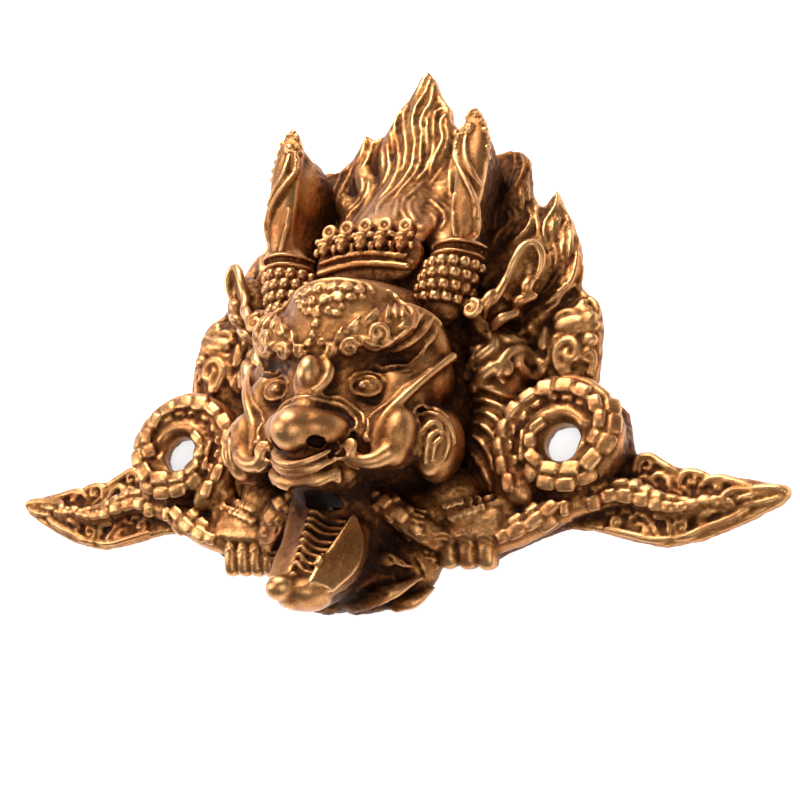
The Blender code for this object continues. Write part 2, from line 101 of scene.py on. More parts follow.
def tube(path, radius, flat=1.0, sides=10, steps=5, out=(0.0, 0.0, 1.0)):
    """A smooth rod with rounded ends; flat squeezes it along its own out direction."""
    line = curve_through(path, steps)
    count = len(line)
    if np.ndim(radius) == 0:
        radius = [radius] * len(path)
    reach = np.interp(np.linspace(0, 1, count), np.linspace(0, 1, len(radius)), radius)
    along = unit(np.gradient(line, axis=0))
    up = np.broadcast_to(np.array(out, float), along.shape) if np.ndim(out) == 1 else np.array(out)
    side = np.cross(along, up)
    weak = np.linalg.norm(side, axis=1) < 0.15
    side[weak] = np.cross(along[weak], np.array((0.0, 1.0, 0.0)))
    side = unit(side)
    over = unit(np.cross(side, along))
    angle = np.linspace(0, 2 * math.pi, sides, endpoint=False)
    ring = (side[:, None] * np.cos(angle)[None, :, None]
            + over[:, None] * (flat * np.sin(angle))[None, :, None])
    middle = [line[0] - 0.75 * reach[0] * along[0], *line, line[-1] + 0.75 * reach[-1] * along[-1]]
    size = [0.55 * reach[0], *reach, 0.55 * reach[-1]]
    rings = [ring[0], *ring, ring[-1]]
    points = [m + s * r for m, s, r in zip(middle, size, rings)]
    tips = [line[0] - reach[0] * along[0], line[-1] + reach[-1] * along[-1]]
    verts = np.vstack(points + [np.array(tips)])
    faces = []
    rows = len(points)
    for i in range(rows - 1):
        for k in range(sides):
            n = (k + 1) % sides
            faces.append((i * sides + k, i * sides + n, (i + 1) * sides + n, (i + 1) * sides + k))
    first, last = rows * sides, rows * sides + 1
    for k in range(sides):
        n = (k + 1) % sides
        faces.append((first, n, k))
        faces.append((last, (rows - 1) * sides + k, (rows - 1) * sides + n))
    return verts, faces


def ball(segments, rings):
    """A round ball of radius one, from which eggs, beads and scales are made."""
    bpy.ops.object.select_all(action="DESELECT")
    bpy.ops.mesh.primitive_uv_sphere_add(segments=segments, ring_count=rings, radius=1)
    made = bpy.context.object
    verts = np.array([v.co for v in made.data.vertices])
    faces = [tuple(p.vertices) for p in made.data.polygons]
    bpy.data.objects.remove(made)
    return verts, faces


BIG_BALL = ball(28, 18)
BEAD = ball(10, 6)
PAD = ball(16, 8)


def turned(verts, turn):
    spin = np.array(Euler([math.radians(a) for a in turn]).to_matrix())
    return verts @ spin.T


def egg(centre, reach, turn=(0, 0, 0), down=None, square=2):
    """A round mass; down is how far it reaches below its centre, square makes its sides boxier."""
    verts, faces = BIG_BALL
    verts = verts.copy()
    up = verts[:, 1]
    rise = np.sign(up) * np.abs(up) ** (2 / square)
    half = np.where(up < 0, down if down is not None else reach[1], reach[1])
    verts = np.stack([verts[:, 0] * reach[0], rise * half, verts[:, 2] * reach[2]], 1)
    return turned(verts, turn) + np.array(centre, float), faces


def bead(centre, radius):
    verts, faces = BEAD
    return verts * np.array(radius) + np.array(centre, float), faces


def pad(centre, along, out, size, square=4):
    """A cushion-shaped scale lying on a surface: size is its half length, half width and height."""
    verts, faces = PAD
    along = unit(np.array(along, float) - np.dot(along, out) * np.array(out))
    side = np.cross(out, along)
    flat = np.linalg.norm(verts[:, :2], axis=1)
    c = verts[:, 0] / np.maximum(flat, 1e-6)
    s = verts[:, 1] / np.maximum(flat, 1e-6)
    grow = 1 / (np.abs(c) ** square + np.abs(s) ** square + 1e-9) ** (1 / square)
    grow = np.where(flat < 1e-4, 1, grow)
    a = verts[:, 0] * grow * size[0]
    b = verts[:, 1] * grow * size[1]
    h = np.sign(verts[:, 2]) * np.abs(verts[:, 2]) ** 0.55 * size[2]
    return (np.array(centre, float) + a[:, None] * along + b[:, None] * side
            + h[:, None] * np.array(out)), faces


def slab(outline, low, high):
    """A flat plate with the given outline."""
    n = len(outline)
    verts = np.array([(x, y, low) for x, y in outline] + [(x, y, high) for x, y in outline], float)
    faces = [tuple(range(n - 1, -1, -1)), tuple(range(n, 2 * n))]
    faces += [(i, (i + 1) % n, n + (i + 1) % n, n + i) for i in range(n)]
    return verts, faces


def disc(centre, radius, low, high):
    """A round plate, with enough sides to look round at the coil holes."""
    angle = np.linspace(0, 2 * math.pi, 64, endpoint=False)
    outline = [(centre[0] + radius * math.cos(a), centre[1] + radius * math.sin(a)) for a in angle]
    return slab(outline, low, high)


def scroll_line(centre, size, out, start, turns, hand):
    """Centre line of a curl that rolls up towards its middle."""
    share = np.linspace(0, 1, 16)
    angle = np.radians(start) - hand * share * turns * 2 * math.pi
    reach = size * (1 - 0.86 * share)
    return np.stack([centre[0] + reach * np.cos(angle), centre[1] + reach * np.sin(angle),
                     out + share * 0.6], 1)


def scroll(centre, size, out, start, thick, turns=1.45, hand=1):
    """A rod rolled up in a curl, thinner towards its middle."""
    return tube(scroll_line(centre, size, out, start, turns, hand), [thick, thick * 0.8, thick * 0.62],
                steps=2, sides=8)


def sheet(first, second, thick):
    """A thin plate stretched between two lines."""
    one, other = curve_through(first, 6), curve_through(second, 6)
    count = min(len(one), len(other))
    one, other = one[:count], other[:count]
    normal = unit(np.cross(np.gradient(one, axis=0), other - one)) * thick / 2
    ring = np.stack([one + normal, other + normal, other - normal, one - normal], 1)
    faces = [(4 * i + j, 4 * i + (j + 1) % 4, 4 * i + 4 + (j + 1) % 4, 4 * i + 4 + j)
             for i in range(count - 1) for j in range(4)]
    last = 4 * (count - 1)
    faces += [(3, 2, 1, 0), (last, last + 1, last + 2, last + 3)]
    return ring.reshape(-1, 3), faces


def mirrored(forms):
    """The same forms on the other side, still facing outwards."""
    return [(verts * np.array((-1, 1, 1)), [face[::-1] for face in faces]) for verts, faces in forms]


class Ground:
    """The top of some forms, on which finer carving is laid."""

    def __init__(self, forms):
        verts, faces = gathered(forms)
        self.tree = BVHTree.FromPolygons([Vector(v) for v in verts], faces)

    def at(self, x, y):
        """Height of the surface at a place seen from the front, and which way it faces there."""
        hit = self.tree.ray_cast(Vector((x, y, 120)), Vector((0, 0, -1)))
        if hit[0] is None:
            return DROP, np.array((0.0, 0.0, 1.0))
        return hit[0].z, np.array(hit[1] if hit[1].z > 0 else -hit[1])

    def near(self, place):
        """The surface point nearest to a place, and which way the surface faces there."""
        spot, facing, _, _ = self.tree.find_nearest(Vector(place))
        return np.array(spot), np.array(facing)

    def line(self, points, lift=0.0, steps=4):
        """A curve on the surface; places with two numbers are dropped on it from the front."""
        if len(points[0]) == 3:
            spots = [self.near(p) for p in curve_through(points, steps)]
            return np.array([spot + lift * facing for spot, facing in spots])
        line = curve_through([p[:2] for p in points], steps)
        height = np.array([self.at(x, y)[0] for x, y in line])
        height = np.convolve(np.pad(height, 2, mode="edge"), np.ones(5) / 5, mode="valid")
        return np.column_stack([line, height + lift])

    def strand(self, points, thick, lift=0.0, flat=0.8):
        """A lock or ridge along a line on the surface."""
        line = self.line(points, lift)
        out = (0.0, 0.0, 1.0)
        if len(points[0]) == 3:
            out = np.array([self.near(p)[1] for p in line])
        return tube(line, thick, flat=flat, sides=8, steps=1, out=out)

    def scale(self, place, size, angle, lift=0.3, square=5):
        """One scale; size is its half length, half width and height, angle its turn."""
        height, facing = self.at(*place)
        facing = unit(facing + np.array((0, 0, 0.6)))
        turn = math.radians(angle)
        return pad((place[0], place[1], height + lift), (math.cos(turn), math.sin(turn), 0), facing, size,
                   square)

    def beads(self, row, radius, spacing, lift=0.0):
        """A string of beads along a line on the surface."""
        line = self.line(row, lift, 6)
        length = np.concatenate([[0], np.cumsum(np.linalg.norm(np.diff(line, axis=0), axis=1))])
        forms = []
        for here in np.arange(0, length[-1] + 0.01, spacing):
            place = [np.interp(here, length, line[:, i]) for i in range(3)]
            forms.append(bead(place, radius))
        return forms

    def curl(self, centre, size, start, turns, hand, thick, lift=0.4):
        """A spiral lying on the surface round a place."""
        spot, facing = self.near(centre)
        across = unit(np.cross(np.array((0.0, 1.0, 0.0)), facing))
        upward = np.cross(facing, across)
        share = np.linspace(0, 1, 14)
        angle = np.radians(start) + hand * share * turns * 2 * math.pi
        reach = size * (1 - 0.84 * share)
        line = (spot + reach[:, None] * (np.cos(angle)[:, None] * across + np.sin(angle)[:, None] * upward))
        line = np.array([self.near(p)[0] for p in line]) + lift * facing
        line += (share * 0.5)[:, None] * facing
        return tube(line, [thick * 0.8, thick, thick * 0.85, thick * 0.7], sides=8, steps=2, out=facing)


def gathered(forms):
    """Several forms as one list of points and faces."""
    verts = []
    faces = []
    base = 0
    for points, polygons in forms:
        verts.append(points)
        faces += [tuple(i + base for i in face) for face in polygons]
        base += len(points)
    return np.vstack(verts), faces


def as_object(name, forms):
    """Forms as an object in the frame's metres."""
    verts, faces = gathered(forms)
    verts = (verts + np.array((0, HOLE_LINE, 0))) * MM
    mesh = bpy.data.meshes.new(name)
    mesh.from_pydata(verts.tolist(), [], faces)
    made = bpy.data.objects.new(name, mesh)
    bpy.context.scene.collection.objects.link(made)
    return made


def as_form(made):
    """The points and faces of an object, back in carving coordinates; the object goes."""
    verts = vertex_array(made.data) / MM - np.array((0, HOLE_LINE, 0))
    faces = [tuple(p.vertices) for p in made.data.polygons]
    bpy.data.objects.remove(made)
    return verts, faces


def vertex_array(mesh, name="co"):
    data = np.empty(len(mesh.vertices) * 3, np.float32)
    mesh.vertices.foreach_get(name, data)
    return data.reshape(-1, 3).astype(float)


def move_points(mesh, co):
    mesh.vertices.foreach_set("co", co.ravel().astype(np.float32))
    mesh.update()


def kept_inside(co):
    """Points held within the box of the solids."""
    low, high = (np.array(corner) for corner in cad_box)
    return np.clip(co, low + BOX_MARGIN, high - BOX_MARGIN)


def apply_modifier(made, kind, **settings):
    bpy.ops.object.select_all(action="DESELECT")
    made.select_set(True)
    bpy.context.view_layer.objects.active = made
    modifier = made.modifiers.new(kind, kind)
    for key, value in settings.items():
        setattr(modifier, key, value)
    bpy.ops.object.modifier_apply(modifier=modifier.name)


def melt(name, forms, grain, rounds=0):
    """Melts forms into one skin as fine as the grain, in millimetres, and softens it."""
    made = as_object(name, forms)
    apply_modifier(made, "REMESH", mode="VOXEL", voxel_size=grain * MM)
    if rounds:
        apply_modifier(made, "SMOOTH", factor=0.5, iterations=rounds)
    return made


def skin(forms, grain, rounds):
    return as_form(melt("skin", forms, grain, rounds))


def dented(form, dents):
    """Presses soft hollows into a form; each is its middle, radius and depth."""
    verts, faces = form
    verts = verts.copy()
    for middle, radius, depth in dents:
        far = np.linalg.norm(verts - np.array(middle, float), axis=1) / radius
        verts[:, 2] -= depth * np.clip(1 - far ** 2, 0, 1) ** 1.5
    return verts, faces


# Where the metal is: outlines of the plate and the tails, across and up

PEAK_EDGE = [(0, 160), (3.8, 155.8), (6.8, 149), (9.5, 145.5), (12, 143), (13.4, 137), (16, 133.5),
             (20, 132.3), (24.3, 135), (29, 124.5), (34, 120)]
RIGHT_FLAME_EDGE = [(41, 121.5), (45, 120.5), (49, 117), (51, 104), (54, 97.5), (56.3, 95.8),
                    (59, 99), (62.3, 102.5), (65, 96.5), (69, 90.5), (71.5, 84), (73.6, 80), (75, 64)]
LEFT_FLAME_EDGE = [(41, 120), (47, 114), (51, 103), (56, 97), (60, 88), (65, 87), (67, 81),
                   (71, 76), (75, 65)]
RIGHT_TIPS = [(46, 119), (54, 100), (62, 102), (69, 90), (73, 80)]
LEFT_TIPS = [(46, 114), (53, 101), (60, 90), (66, 87), (71, 76)]
RIGHT_WING_EDGE = [(78, 60.5), (81.6, 58), (84, 54.5), (85.6, 47), (86, 37), (85.8, 26)]
LEFT_WING_EDGE = [(78, 61), (82.4, 58.4), (85.4, 54), (87.4, 46), (87.8, 36), (87, 26)]
TAIL_EDGE = [(99, 14), (103, -2), (108, -1), (115, -5.2), (129, -8.9), (145, -11.2), (158.6, -13.6),
             (160, -16), (157, -20), (143, -27.2), (130, -32.4), (117, -34.8), (104, -32.4),
             (90, -28.6), (80, -28), (70, -31.8)]
RIGHT_HAND_EDGE = [(58, -36.8), (50, -41), (31, -40.8), (27.6, -44.6), (26.6, -52), (19, -54.4)]
LEFT_HAND_EDGE = [(60, -38), (53, -43.4), (36, -44.6), (29, -46), (26.6, -52), (19, -54.4)]


def flame_tongue(path, width):
    steps = len(path) - 1
    radii = [width * (1 - (i / steps) ** 2) + 0.9 for i in range(steps + 1)]
    return tube(path, radii, flat=0.55, sides=16, steps=6)


def flame_masses(edge, wing, tips):
    """One side of the plate behind the head with the swelling locks of flame on it."""
    outline = PEAK_EDGE + edge + wing + [(60, 0), (50, -30), (0, -40)]
    forms = [slab(outline, 0, PLATE)]
    locks = [([(0, 84, 22), (-2, 105, 9), (3, 130, 4.5), (0, 159, 3)], 8),
             ([(8, 84, 20), (6, 106, 8), (12, 126, 4.5), (9, 146, 3)], 6),
             ([(14, 82, 18), (13, 100, 8), (22, 117, 4.5), (24, 134, 3)], 6),
             ([(22, 80, 14), (22, 96, 7), (31, 107, 4.5), (35, 118, 3)], 6)]
    for number, (across, up) in enumerate(tips):
        share = number / (len(tips) - 1)
        root = (36 + 22 * share, 74 - 26 * share, 10 - 2 * share)
        bend = (root[0] + 0.3 * (across - root[0]) + 3, root[1] + 0.3 * (up - root[1]), 6.5)
        swell = (root[0] + 0.7 * (across - root[0]) + 4, root[1] + 0.65 * (up - root[1]), 5)
        locks.append(([root, bend, swell, (across, up - 1, 3)], 6.4 - 1.4 * share))
    forms += [flame_tongue(path, width) for path, width in locks]
    forms += [egg((73, 41, 3), (13, 18, 4.5))]
    return forms


# Ridges of the flame hair over the crown
PEAK_RIDGES = [
    [(0.2, 159), (-1.7, 154.3), (-3, 149.4), (-5.4, 145.2)],
    [(1.5, 155.8), (1, 150.1), (-0.9, 146.2), (-2.2, 142.1), (-2.2, 137.5), (-1.1, 132.7), (1.2, 126.8),
     (1.9, 121.9), (2.6, 116.8), (2.2, 112.4), (0.7, 107.6), (-1.1, 102.4), (-3, 98), (-3.1, 93.2),
     (-0.9, 87.8)],
    [(3.3, 152.5), (4, 147.9), (3.6, 143.3), (2.1, 140.2), (1.6, 136.1), (3.4, 130.6), (4.1, 125.1),
     (5, 119.7), (5.4, 115.6), (4.4, 109.2), (2.5, 104.1), (1.2, 98.5)],
    [(9.3, 142.4), (6.7, 140.7), (6.7, 136.1), (7.8, 130.6), (8.9, 125.4), (9.4, 120.4), (8.9, 116.7),
     (8.2, 112.6), (5.9, 106.7)],
    [(11.6, 139.4), (9.9, 137.2), (10.3, 133), (12.4, 127.9), (12.1, 123.8), (11.1, 120.2), (10.4, 115.3),
     (10.4, 111.3)],
    [(-9.6, 143.8), (-10.8, 139.3), (-10.1, 133.6), (-6.9, 126.9), (-4.6, 120.2), (-3.2, 114.1),
     (-3.4, 109.1), (-4.1, 104), (-6.9, 99.3)],
    [(-12.6, 134.6), (-11.4, 132.3), (-9.6, 127.5), (-7.3, 121.2)],
    [(-7.3, 145.4), (-8, 141.1), (-5.7, 134.4), (-3.1, 128.1), (-1.7, 122.4), (-0.9, 117.1),
     (-1.5, 112.8)],
    [(-24, 133.8), (-23.7, 128.9), (-24.3, 123.8), (-27.5, 121)],
    [(-20.4, 131.2), (-20.7, 127.3), (-20.7, 122.7), (-21.9, 118.7)],
    [(-20.6, 113.7), (-19, 108.9), (-19.9, 104.9), (-22.3, 100.9), (-27.8, 98)],
    [(-16.8, 111.4), (-15.9, 106.5), (-17.9, 102.4), (-21.4, 98.2), (-23.2, 94.5)],
    [(-13.9, 125.6), (-12.3, 120.6), (-11.6, 115.2)],
    [(3.4, 97.2), (5.3, 91.3), (7, 86.3)],
    [(5.5, 98.4), (7, 91.8), (11.5, 86.3)],
    [(8.6, 99.5), (8.2, 94.9), (11.2, 89.7), (14.4, 86.4)],
    [(14, 99.1), (17.3, 96), (20.5, 92.7), (22.5, 88.3), (22, 84.1)],
    [(17.3, 91.8), (19.6, 88.5), (20.4, 84.3)],
    [(9, 107.8), (7.2, 102.6), (5.4, 97.8)],
    [(15, 118.7), (14, 115.2), (12.8, 111.5), (11.1, 107.2)],
    [(-12, 127.5), (-9.7, 121.2), (-8.2, 115.4), (-9, 109.8), (-12.3, 106.2)],
    [(4.4, 137.6), (5.1, 132), (6.5, 126.5), (6.7, 122.2)],
    [(16.2, 132), (17, 124), (17.4, 116), (19, 108), (20, 101)],
    [(21.5, 131), (21, 124), (22.6, 116), (26, 108), (27, 98)],
    [(24.2, 134), (24.3, 127), (27, 119), (31, 110), (31, 100)],
    [(-27, 124), (-28.6, 118), (-30, 112), (-31, 104)],
    [(-33, 119), (-33.4, 112), (-33, 104), (-31, 94)]]
# The same on the right side of the head
SIDE_RIDGES = [
    [(42.4, 119.3), (43.8, 114.6), (43.1, 110.1), (41.9, 106.1)],
    [(45.8, 118.1), (47.9, 113.8), (47.8, 108), (46.4, 103.5)],
    [(51, 104.2), (51.1, 99.7), (51.4, 96.1), (54.3, 90.4), (54, 86.3), (51.9, 83), (49.4, 79.6)],
    [(46.3, 95.2), (48.4, 92.5), (48.3, 88.6), (47.1, 85.1), (45.2, 81.8)],
    [(45.6, 92.7), (46.7, 89.4), (45.5, 85.9), (43.4, 83.2), (42.3, 79.3)],
    [(49, 102), (49.9, 97.2), (49.8, 93.3), (50.4, 87.3), (48.2, 83)],
    [(62.1, 101.7), (62.9, 96.2), (61.9, 92), (60.4, 87.6), (60.8, 83.3), (62.2, 79.5), (64.1, 74.8),
     (64.3, 70), (62.3, 66), (60.3, 63.9)],
    [(67.5, 89), (66.7, 85.9), (68.2, 80.6), (69, 75.4)],
    [(70.3, 85.2), (70.9, 80.7), (71.2, 75.8), (70.4, 71.2), (69.2, 65.7)],
    [(72.6, 79.4), (73.8, 74.3), (74.2, 68.9), (73.4, 63.7), (70.7, 60.4), (68, 56.7), (64.7, 53.8)],
    [(74.4, 63.1), (70.9, 59.1), (69, 54.3), (65.9, 51.7)],
    [(63.8, 88), (63.7, 84), (64.6, 79), (66.8, 74.1), (66.9, 69), (64.8, 64.2), (62.4, 60.6)],
    [(65.2, 90.2), (65, 86), (67.2, 80), (69.2, 73.8), (68.5, 68.8), (66.9, 63.3), (64.2, 59.2)],
    [(54.9, 96.7), (56, 91.3), (57.4, 87), (58.3, 82.2)],
    [(40, 104), (41, 98), (40.6, 91), (41.6, 85)]]
# Cloud scrolls between the flames and the coil
WING_CURLS = [
    ([(53, 25.9), (54, 30.5), (55.9, 34.7), (58.9, 36.5), (63.1, 34.4), (65.5, 31.5), (63.9, 29.1),
      (61, 28.3), (58.4, 30.7), (58.8, 33.4), (60.9, 32.9)], 2.0),
    ([(73.1, 29.7), (70.9, 34.1), (71.4, 37.8), (73.5, 40), (76.5, 40.2), (78.6, 38), (78.8, 34.6),
      (76.7, 33.2), (74.7, 35), (75.3, 36.9)], 1.7),
    ([(83.5, 29.1), (84.3, 33.1), (83.8, 36.1), (81.8, 36.2), (81.3, 34), (82.6, 33.1)], 1.3),
    ([(46, 45), (48.6, 42), (51.8, 40.4), (55.3, 39.7), (59.2, 40.7), (60.8, 43.6), (60.4, 46)], 1.7),
    ([(51.1, 44.3), (54.6, 42.1), (57.3, 43.1), (57.6, 45)], 1.0),
    ([(39.3, 26.2), (42.8, 30.3), (47.3, 33.2), (50.1, 36.5), (48, 40.1), (44.2, 41.5), (41.1, 40.1),
      (40.7, 37), (43, 34.9), (45.3, 35.6)], 2.0),
    ([(51.4, 28.2), (47.6, 25.1), (43.6, 21)], 2.3),
    ([(45.4, 51.7), (49.9, 50.6), (55, 49.8), (56.5, 52)], 1.3),
    ([(52.9, 53.1), (56.9, 53.6), (59.9, 56.9)], 1.2),
    ([(69, 48.6), (70.4, 51), (74.1, 51.8), (77.4, 50.1), (81, 49.4)], 1.5),
    ([(69.4, 41.4), (74, 43), (78.3, 44.1), (82.5, 44.8), (84.5, 47)], 1.3),
    ([(67.7, 33), (68.4, 37.3), (70.3, 40.5), (73.7, 42), (77.8, 42.2)], 1.0),
    ([(80.1, 57.7), (82.7, 55.2), (83.8, 52), (83.6, 48)], 1.1)]
WING_SWELLS = [
    ((75, 47), (6.4, 3.4, 2.4), 10), ((81, 48), (4.4, 3.2, 2.2), 60), ((65, 42), (2.6, 5.4, 2.4), 0),
    ((79, 52), (4, 3, 1.6), -20), ((83, 41), (2.6, 2.4, 1.8), 0), ((55.6, 28), (2.6, 3.4, 1.8), 0),
    ((74.4, 30), (2.8, 3.4, 1.6), 0)]


# Ribbons that fly from behind the ear-ring to the coil
RIBBONS = [
    [(42, 22), (48, 21), (54, 19.4), (59, 18)], [(43, 17.6), (49, 16.2), (54.6, 14), (58.6, 11)],
    [(44, 12.8), (50, 11), (55, 8), (57.6, 4.4)], [(45, 8), (50.4, 5.6), (54.4, 1.6), (56, -3)],
    [(46, 2.6), (50.4, -0.6), (53.4, -5), (54.4, -9.6)], [(46, -4), (49.6, -7.6), (52, -12), (52.4, -16)],
    [(44, 27), (48.6, 27.4), (52, 25.4), (55, 22.6)]]


def left_place(x, y):
    """The left side of the flames stands lower than the right."""
    share = np.interp(x, [41, 47, 51, 56, 60, 70, 75], [0.97, 0.93, 0.98, 1.0, 0.75, 0.72, 0.95])
    return -x, 50 + (y - 50) * share if y > 50 else y


def flame_ridge(ground, line, thick):
    """A ridge of hair that thins to its ends, with a finer one beside it."""
    count = len(line)
    strong = [thick * 0.6] + [thick] * (count - 2) + [thick * 0.5]
    forms = [ground.strand(line, strong, lift=0.1, flat=1.0)]
    if count > 3:
        for shift, share in ((2.1, 0.62), (-1.9, 0.5)):
            beside = offset_line(line, shift)
            start, stop = len(beside) // 6, len(beside) - len(beside) // 5
            forms.append(ground.strand(beside[start:stop:4], [0.3, thick * share, thick * share, 0.3],
                                       lift=0.0))
    return forms


def plate_piece():
    right = flame_masses(RIGHT_FLAME_EDGE, RIGHT_WING_EDGE, RIGHT_TIPS)
    left = mirrored(flame_masses(LEFT_FLAME_EDGE, LEFT_WING_EDGE, LEFT_TIPS))
    between = [egg((48, 31, 4), (13, 20, 13)), egg((50, 2, 4), (12, 20, 12)), egg((58, -4, 4), (8, 17, 8))]
    masses = skin(right + left + between + mirrored(between), 0.9, 3)
    ground = Ground([masses])
    forms = [masses]
    for ridge in PEAK_RIDGES:
        forms += flame_ridge(ground, ridge, 0.95)
    for ridge in SIDE_RIDGES:
        forms += flame_ridge(ground, ridge, 1.0)
        forms += flame_ridge(ground, [left_place(x, y) for x, y in ridge], 1.0)
    for side in (-1, 1):
        for line in RIBBONS:
            forms.append(ground.strand([(side * x, y) for x, y in line], [1.0, 1.5, 1.5, 0.8], lift=0.3))
        for line, thick in WING_CURLS:
            count = len(line)
            reach = [thick] * (count - 1) + [thick * 0.8]
            forms.append(ground.strand([(side * x, y) for x, y in line], [1.25 * r for r in reach], lift=0.2,
                                       flat=0.8))
        for (x, y), (long, wide, tall), angle in WING_SWELLS:
            forms.append(ground.scale((side * x, y), (long, wide, tall), side * angle, lift=0.0, square=2.4))
        height, _ = ground.at(side * 78.2, 55.3)
        forms.append(bead((side * 78.2, 55.3, height + 0.3), (2.0, 2.0, 1.7)))
    return forms


# Snake

def coil_path():
    count = 64
    share = np.linspace(0, 1, count)
    angle = np.radians(232 - 560 * share)
    knots = [0, 0.1, 0.26, 0.42, 0.58, 0.75, 1]
    reach = np.interp(share, knots, [22.6, 21.8, 18.6, 15.2, 12.8, 11.8, 10.2])
    thick = np.interp(share, knots, [5.4, 5.8, 5.8, 6.6, 5.9, 4.6, 2.6])
    path = np.stack([COIL[0] + reach * np.cos(angle), COIL[1] + reach * np.sin(angle), COIL_TOP - thick], 1)
    return path, thick


# Scales as they lie: middle, half length, half width and turn
COIL_SCALES = [
    (62.6, -15.5, 3.0, 2.2, -76), (59.1, -9.1, 3.0, 2.1, -75), (56.6, -2.3, 3.1, 2.2, -75),
    (57.3, 4.7, 3.1, 2.2, -94), (60.1, 11.6, 3.1, 2.5, -126), (65.9, 16.6, 3.1, 2.2, 35),
    (72.4, 19.2, 3.0, 2.9, 5), (79.7, 20.0, 3.2, 2.7, -3), (86.7, 17.6, 2.9, 2.5, -25),
    (92.1, 12.8, 2.9, 2.3, -72), (94.4, 6.8, 3.0, 2.0, -88), (92.6, 0.6, 2.6, 2.5, -118),
    (86.4, -2.2, 2.9, 1.8, -154), (79.6, -4.6, 2.5, 1.2, -177), (98.0, 12.4, 2.9, 2.6, -80),
    (99.8, 5.4, 3.4, 2.3, -87), (98.0, -2.0, 3.2, 2.7, -112), (92.9, -7.9, 3.4, 2.9, -130),
    (85.4, -10.4, 3.4, 2.6, 179), (77.6, -10.2, 3.1, 2.4, 171), (71.2, -6.4, 3.1, 2.3, 140),
    (69.2, -0.3, 2.4, 2.1, 97), (71.4, 5.3, 3.0, 1.8, 40), (65.4, 1.3, 3.0, 0.9, 97),
    (65.8, -5.0, 2.4, 0.9, 100), (69.6, -12.0, 2.8, 2.2, 139), (76.4, -15.6, 3.2, 2.2, 169),
    (84.0, -16.4, 3.3, 2.2, -178), (91.6, -13.8, 3.2, 1.9, -159), (92.8, 18.4, 3.9, 1.3, -34),
    (75.4, 15.6, 1.7, 0.9, -9), (81.1, 15.2, 1.9, 0.9, -8), (86.0, 13.2, 1.5, 0.9, -37),
    (69.6, 13.2, 1.7, 0.8, 30), (65.2, 9.0, 1.6, 0.8, 60), (62.2, 4.0, 1.6, 0.8, 80),
    (61.6, -1.4, 1.5, 0.8, 92), (63.4, -6.6, 1.5, 0.8, 105), (73.6, 22.6, 3.0, 1.2, 8),
    (80.4, 24.0, 3.2, 1.2, -4), (87.2, 22.2, 3.2, 1.2, -22)]
NECK_SCALES = [
    (77.6, -23.5, 3.2, 2.2, 42), (72.0, -28.4, 3.3, 2.2, 37), (65.6, -31.7, 3.0, 2.4, 28),
    (77.0, -28.9, 3.2, 1.9, 35), (82.9, -23.4, 2.5, 1.6, -84), (70.4, -23.6, 2.6, 1.6, 40),
    (64.6, -27.2, 2.6, 1.5, 32), (60.6, -33.6, 2.0, 2.0, 25)]
TAIL_SCALES = [
    (94.4, -15.5, 2.8, 1.2, 30), (100.8, -13.4, 2.9, 1.4, 6), (106.6, -14.1, 2.0, 2.0, -7),
    (111.0, -16.1, 1.9, 1.8, -31), (115.1, -18.3, 2.0, 1.8, -22), (119.6, -18.7, 2.4, 1.2, -5),
    (124.4, -19.5, 2.0, 1.0, -6), (92.8, -21.2, 2.2, 2.6, 9), (98.1, -18.6, 2.5, 2.2, 12),
    (103.6, -18.7, 2.7, 2.3, -9), (109.4, -20.0, 2.5, 2.2, -9), (114.6, -21.8, 2.2, 1.9, -6),
    (119.0, -22.4, 2.1, 1.8, -6), (123.4, -22.2, 2.1, 1.5, 8), (127.4, -21.1, 1.8, 1.6, 18),
    (131.1, -19.7, 1.9, 1.8, 5), (135.0, -20.1, 1.7, 1.7, -7), (96.8, -22.6, 2.2, 1.1, 9),
    (102.2, -22.4, 2.2, 1.0, -1), (108.2, -23.8, 2.2, 1.0, -12), (115.0, -25.2, 2.2, 0.9, -10)]
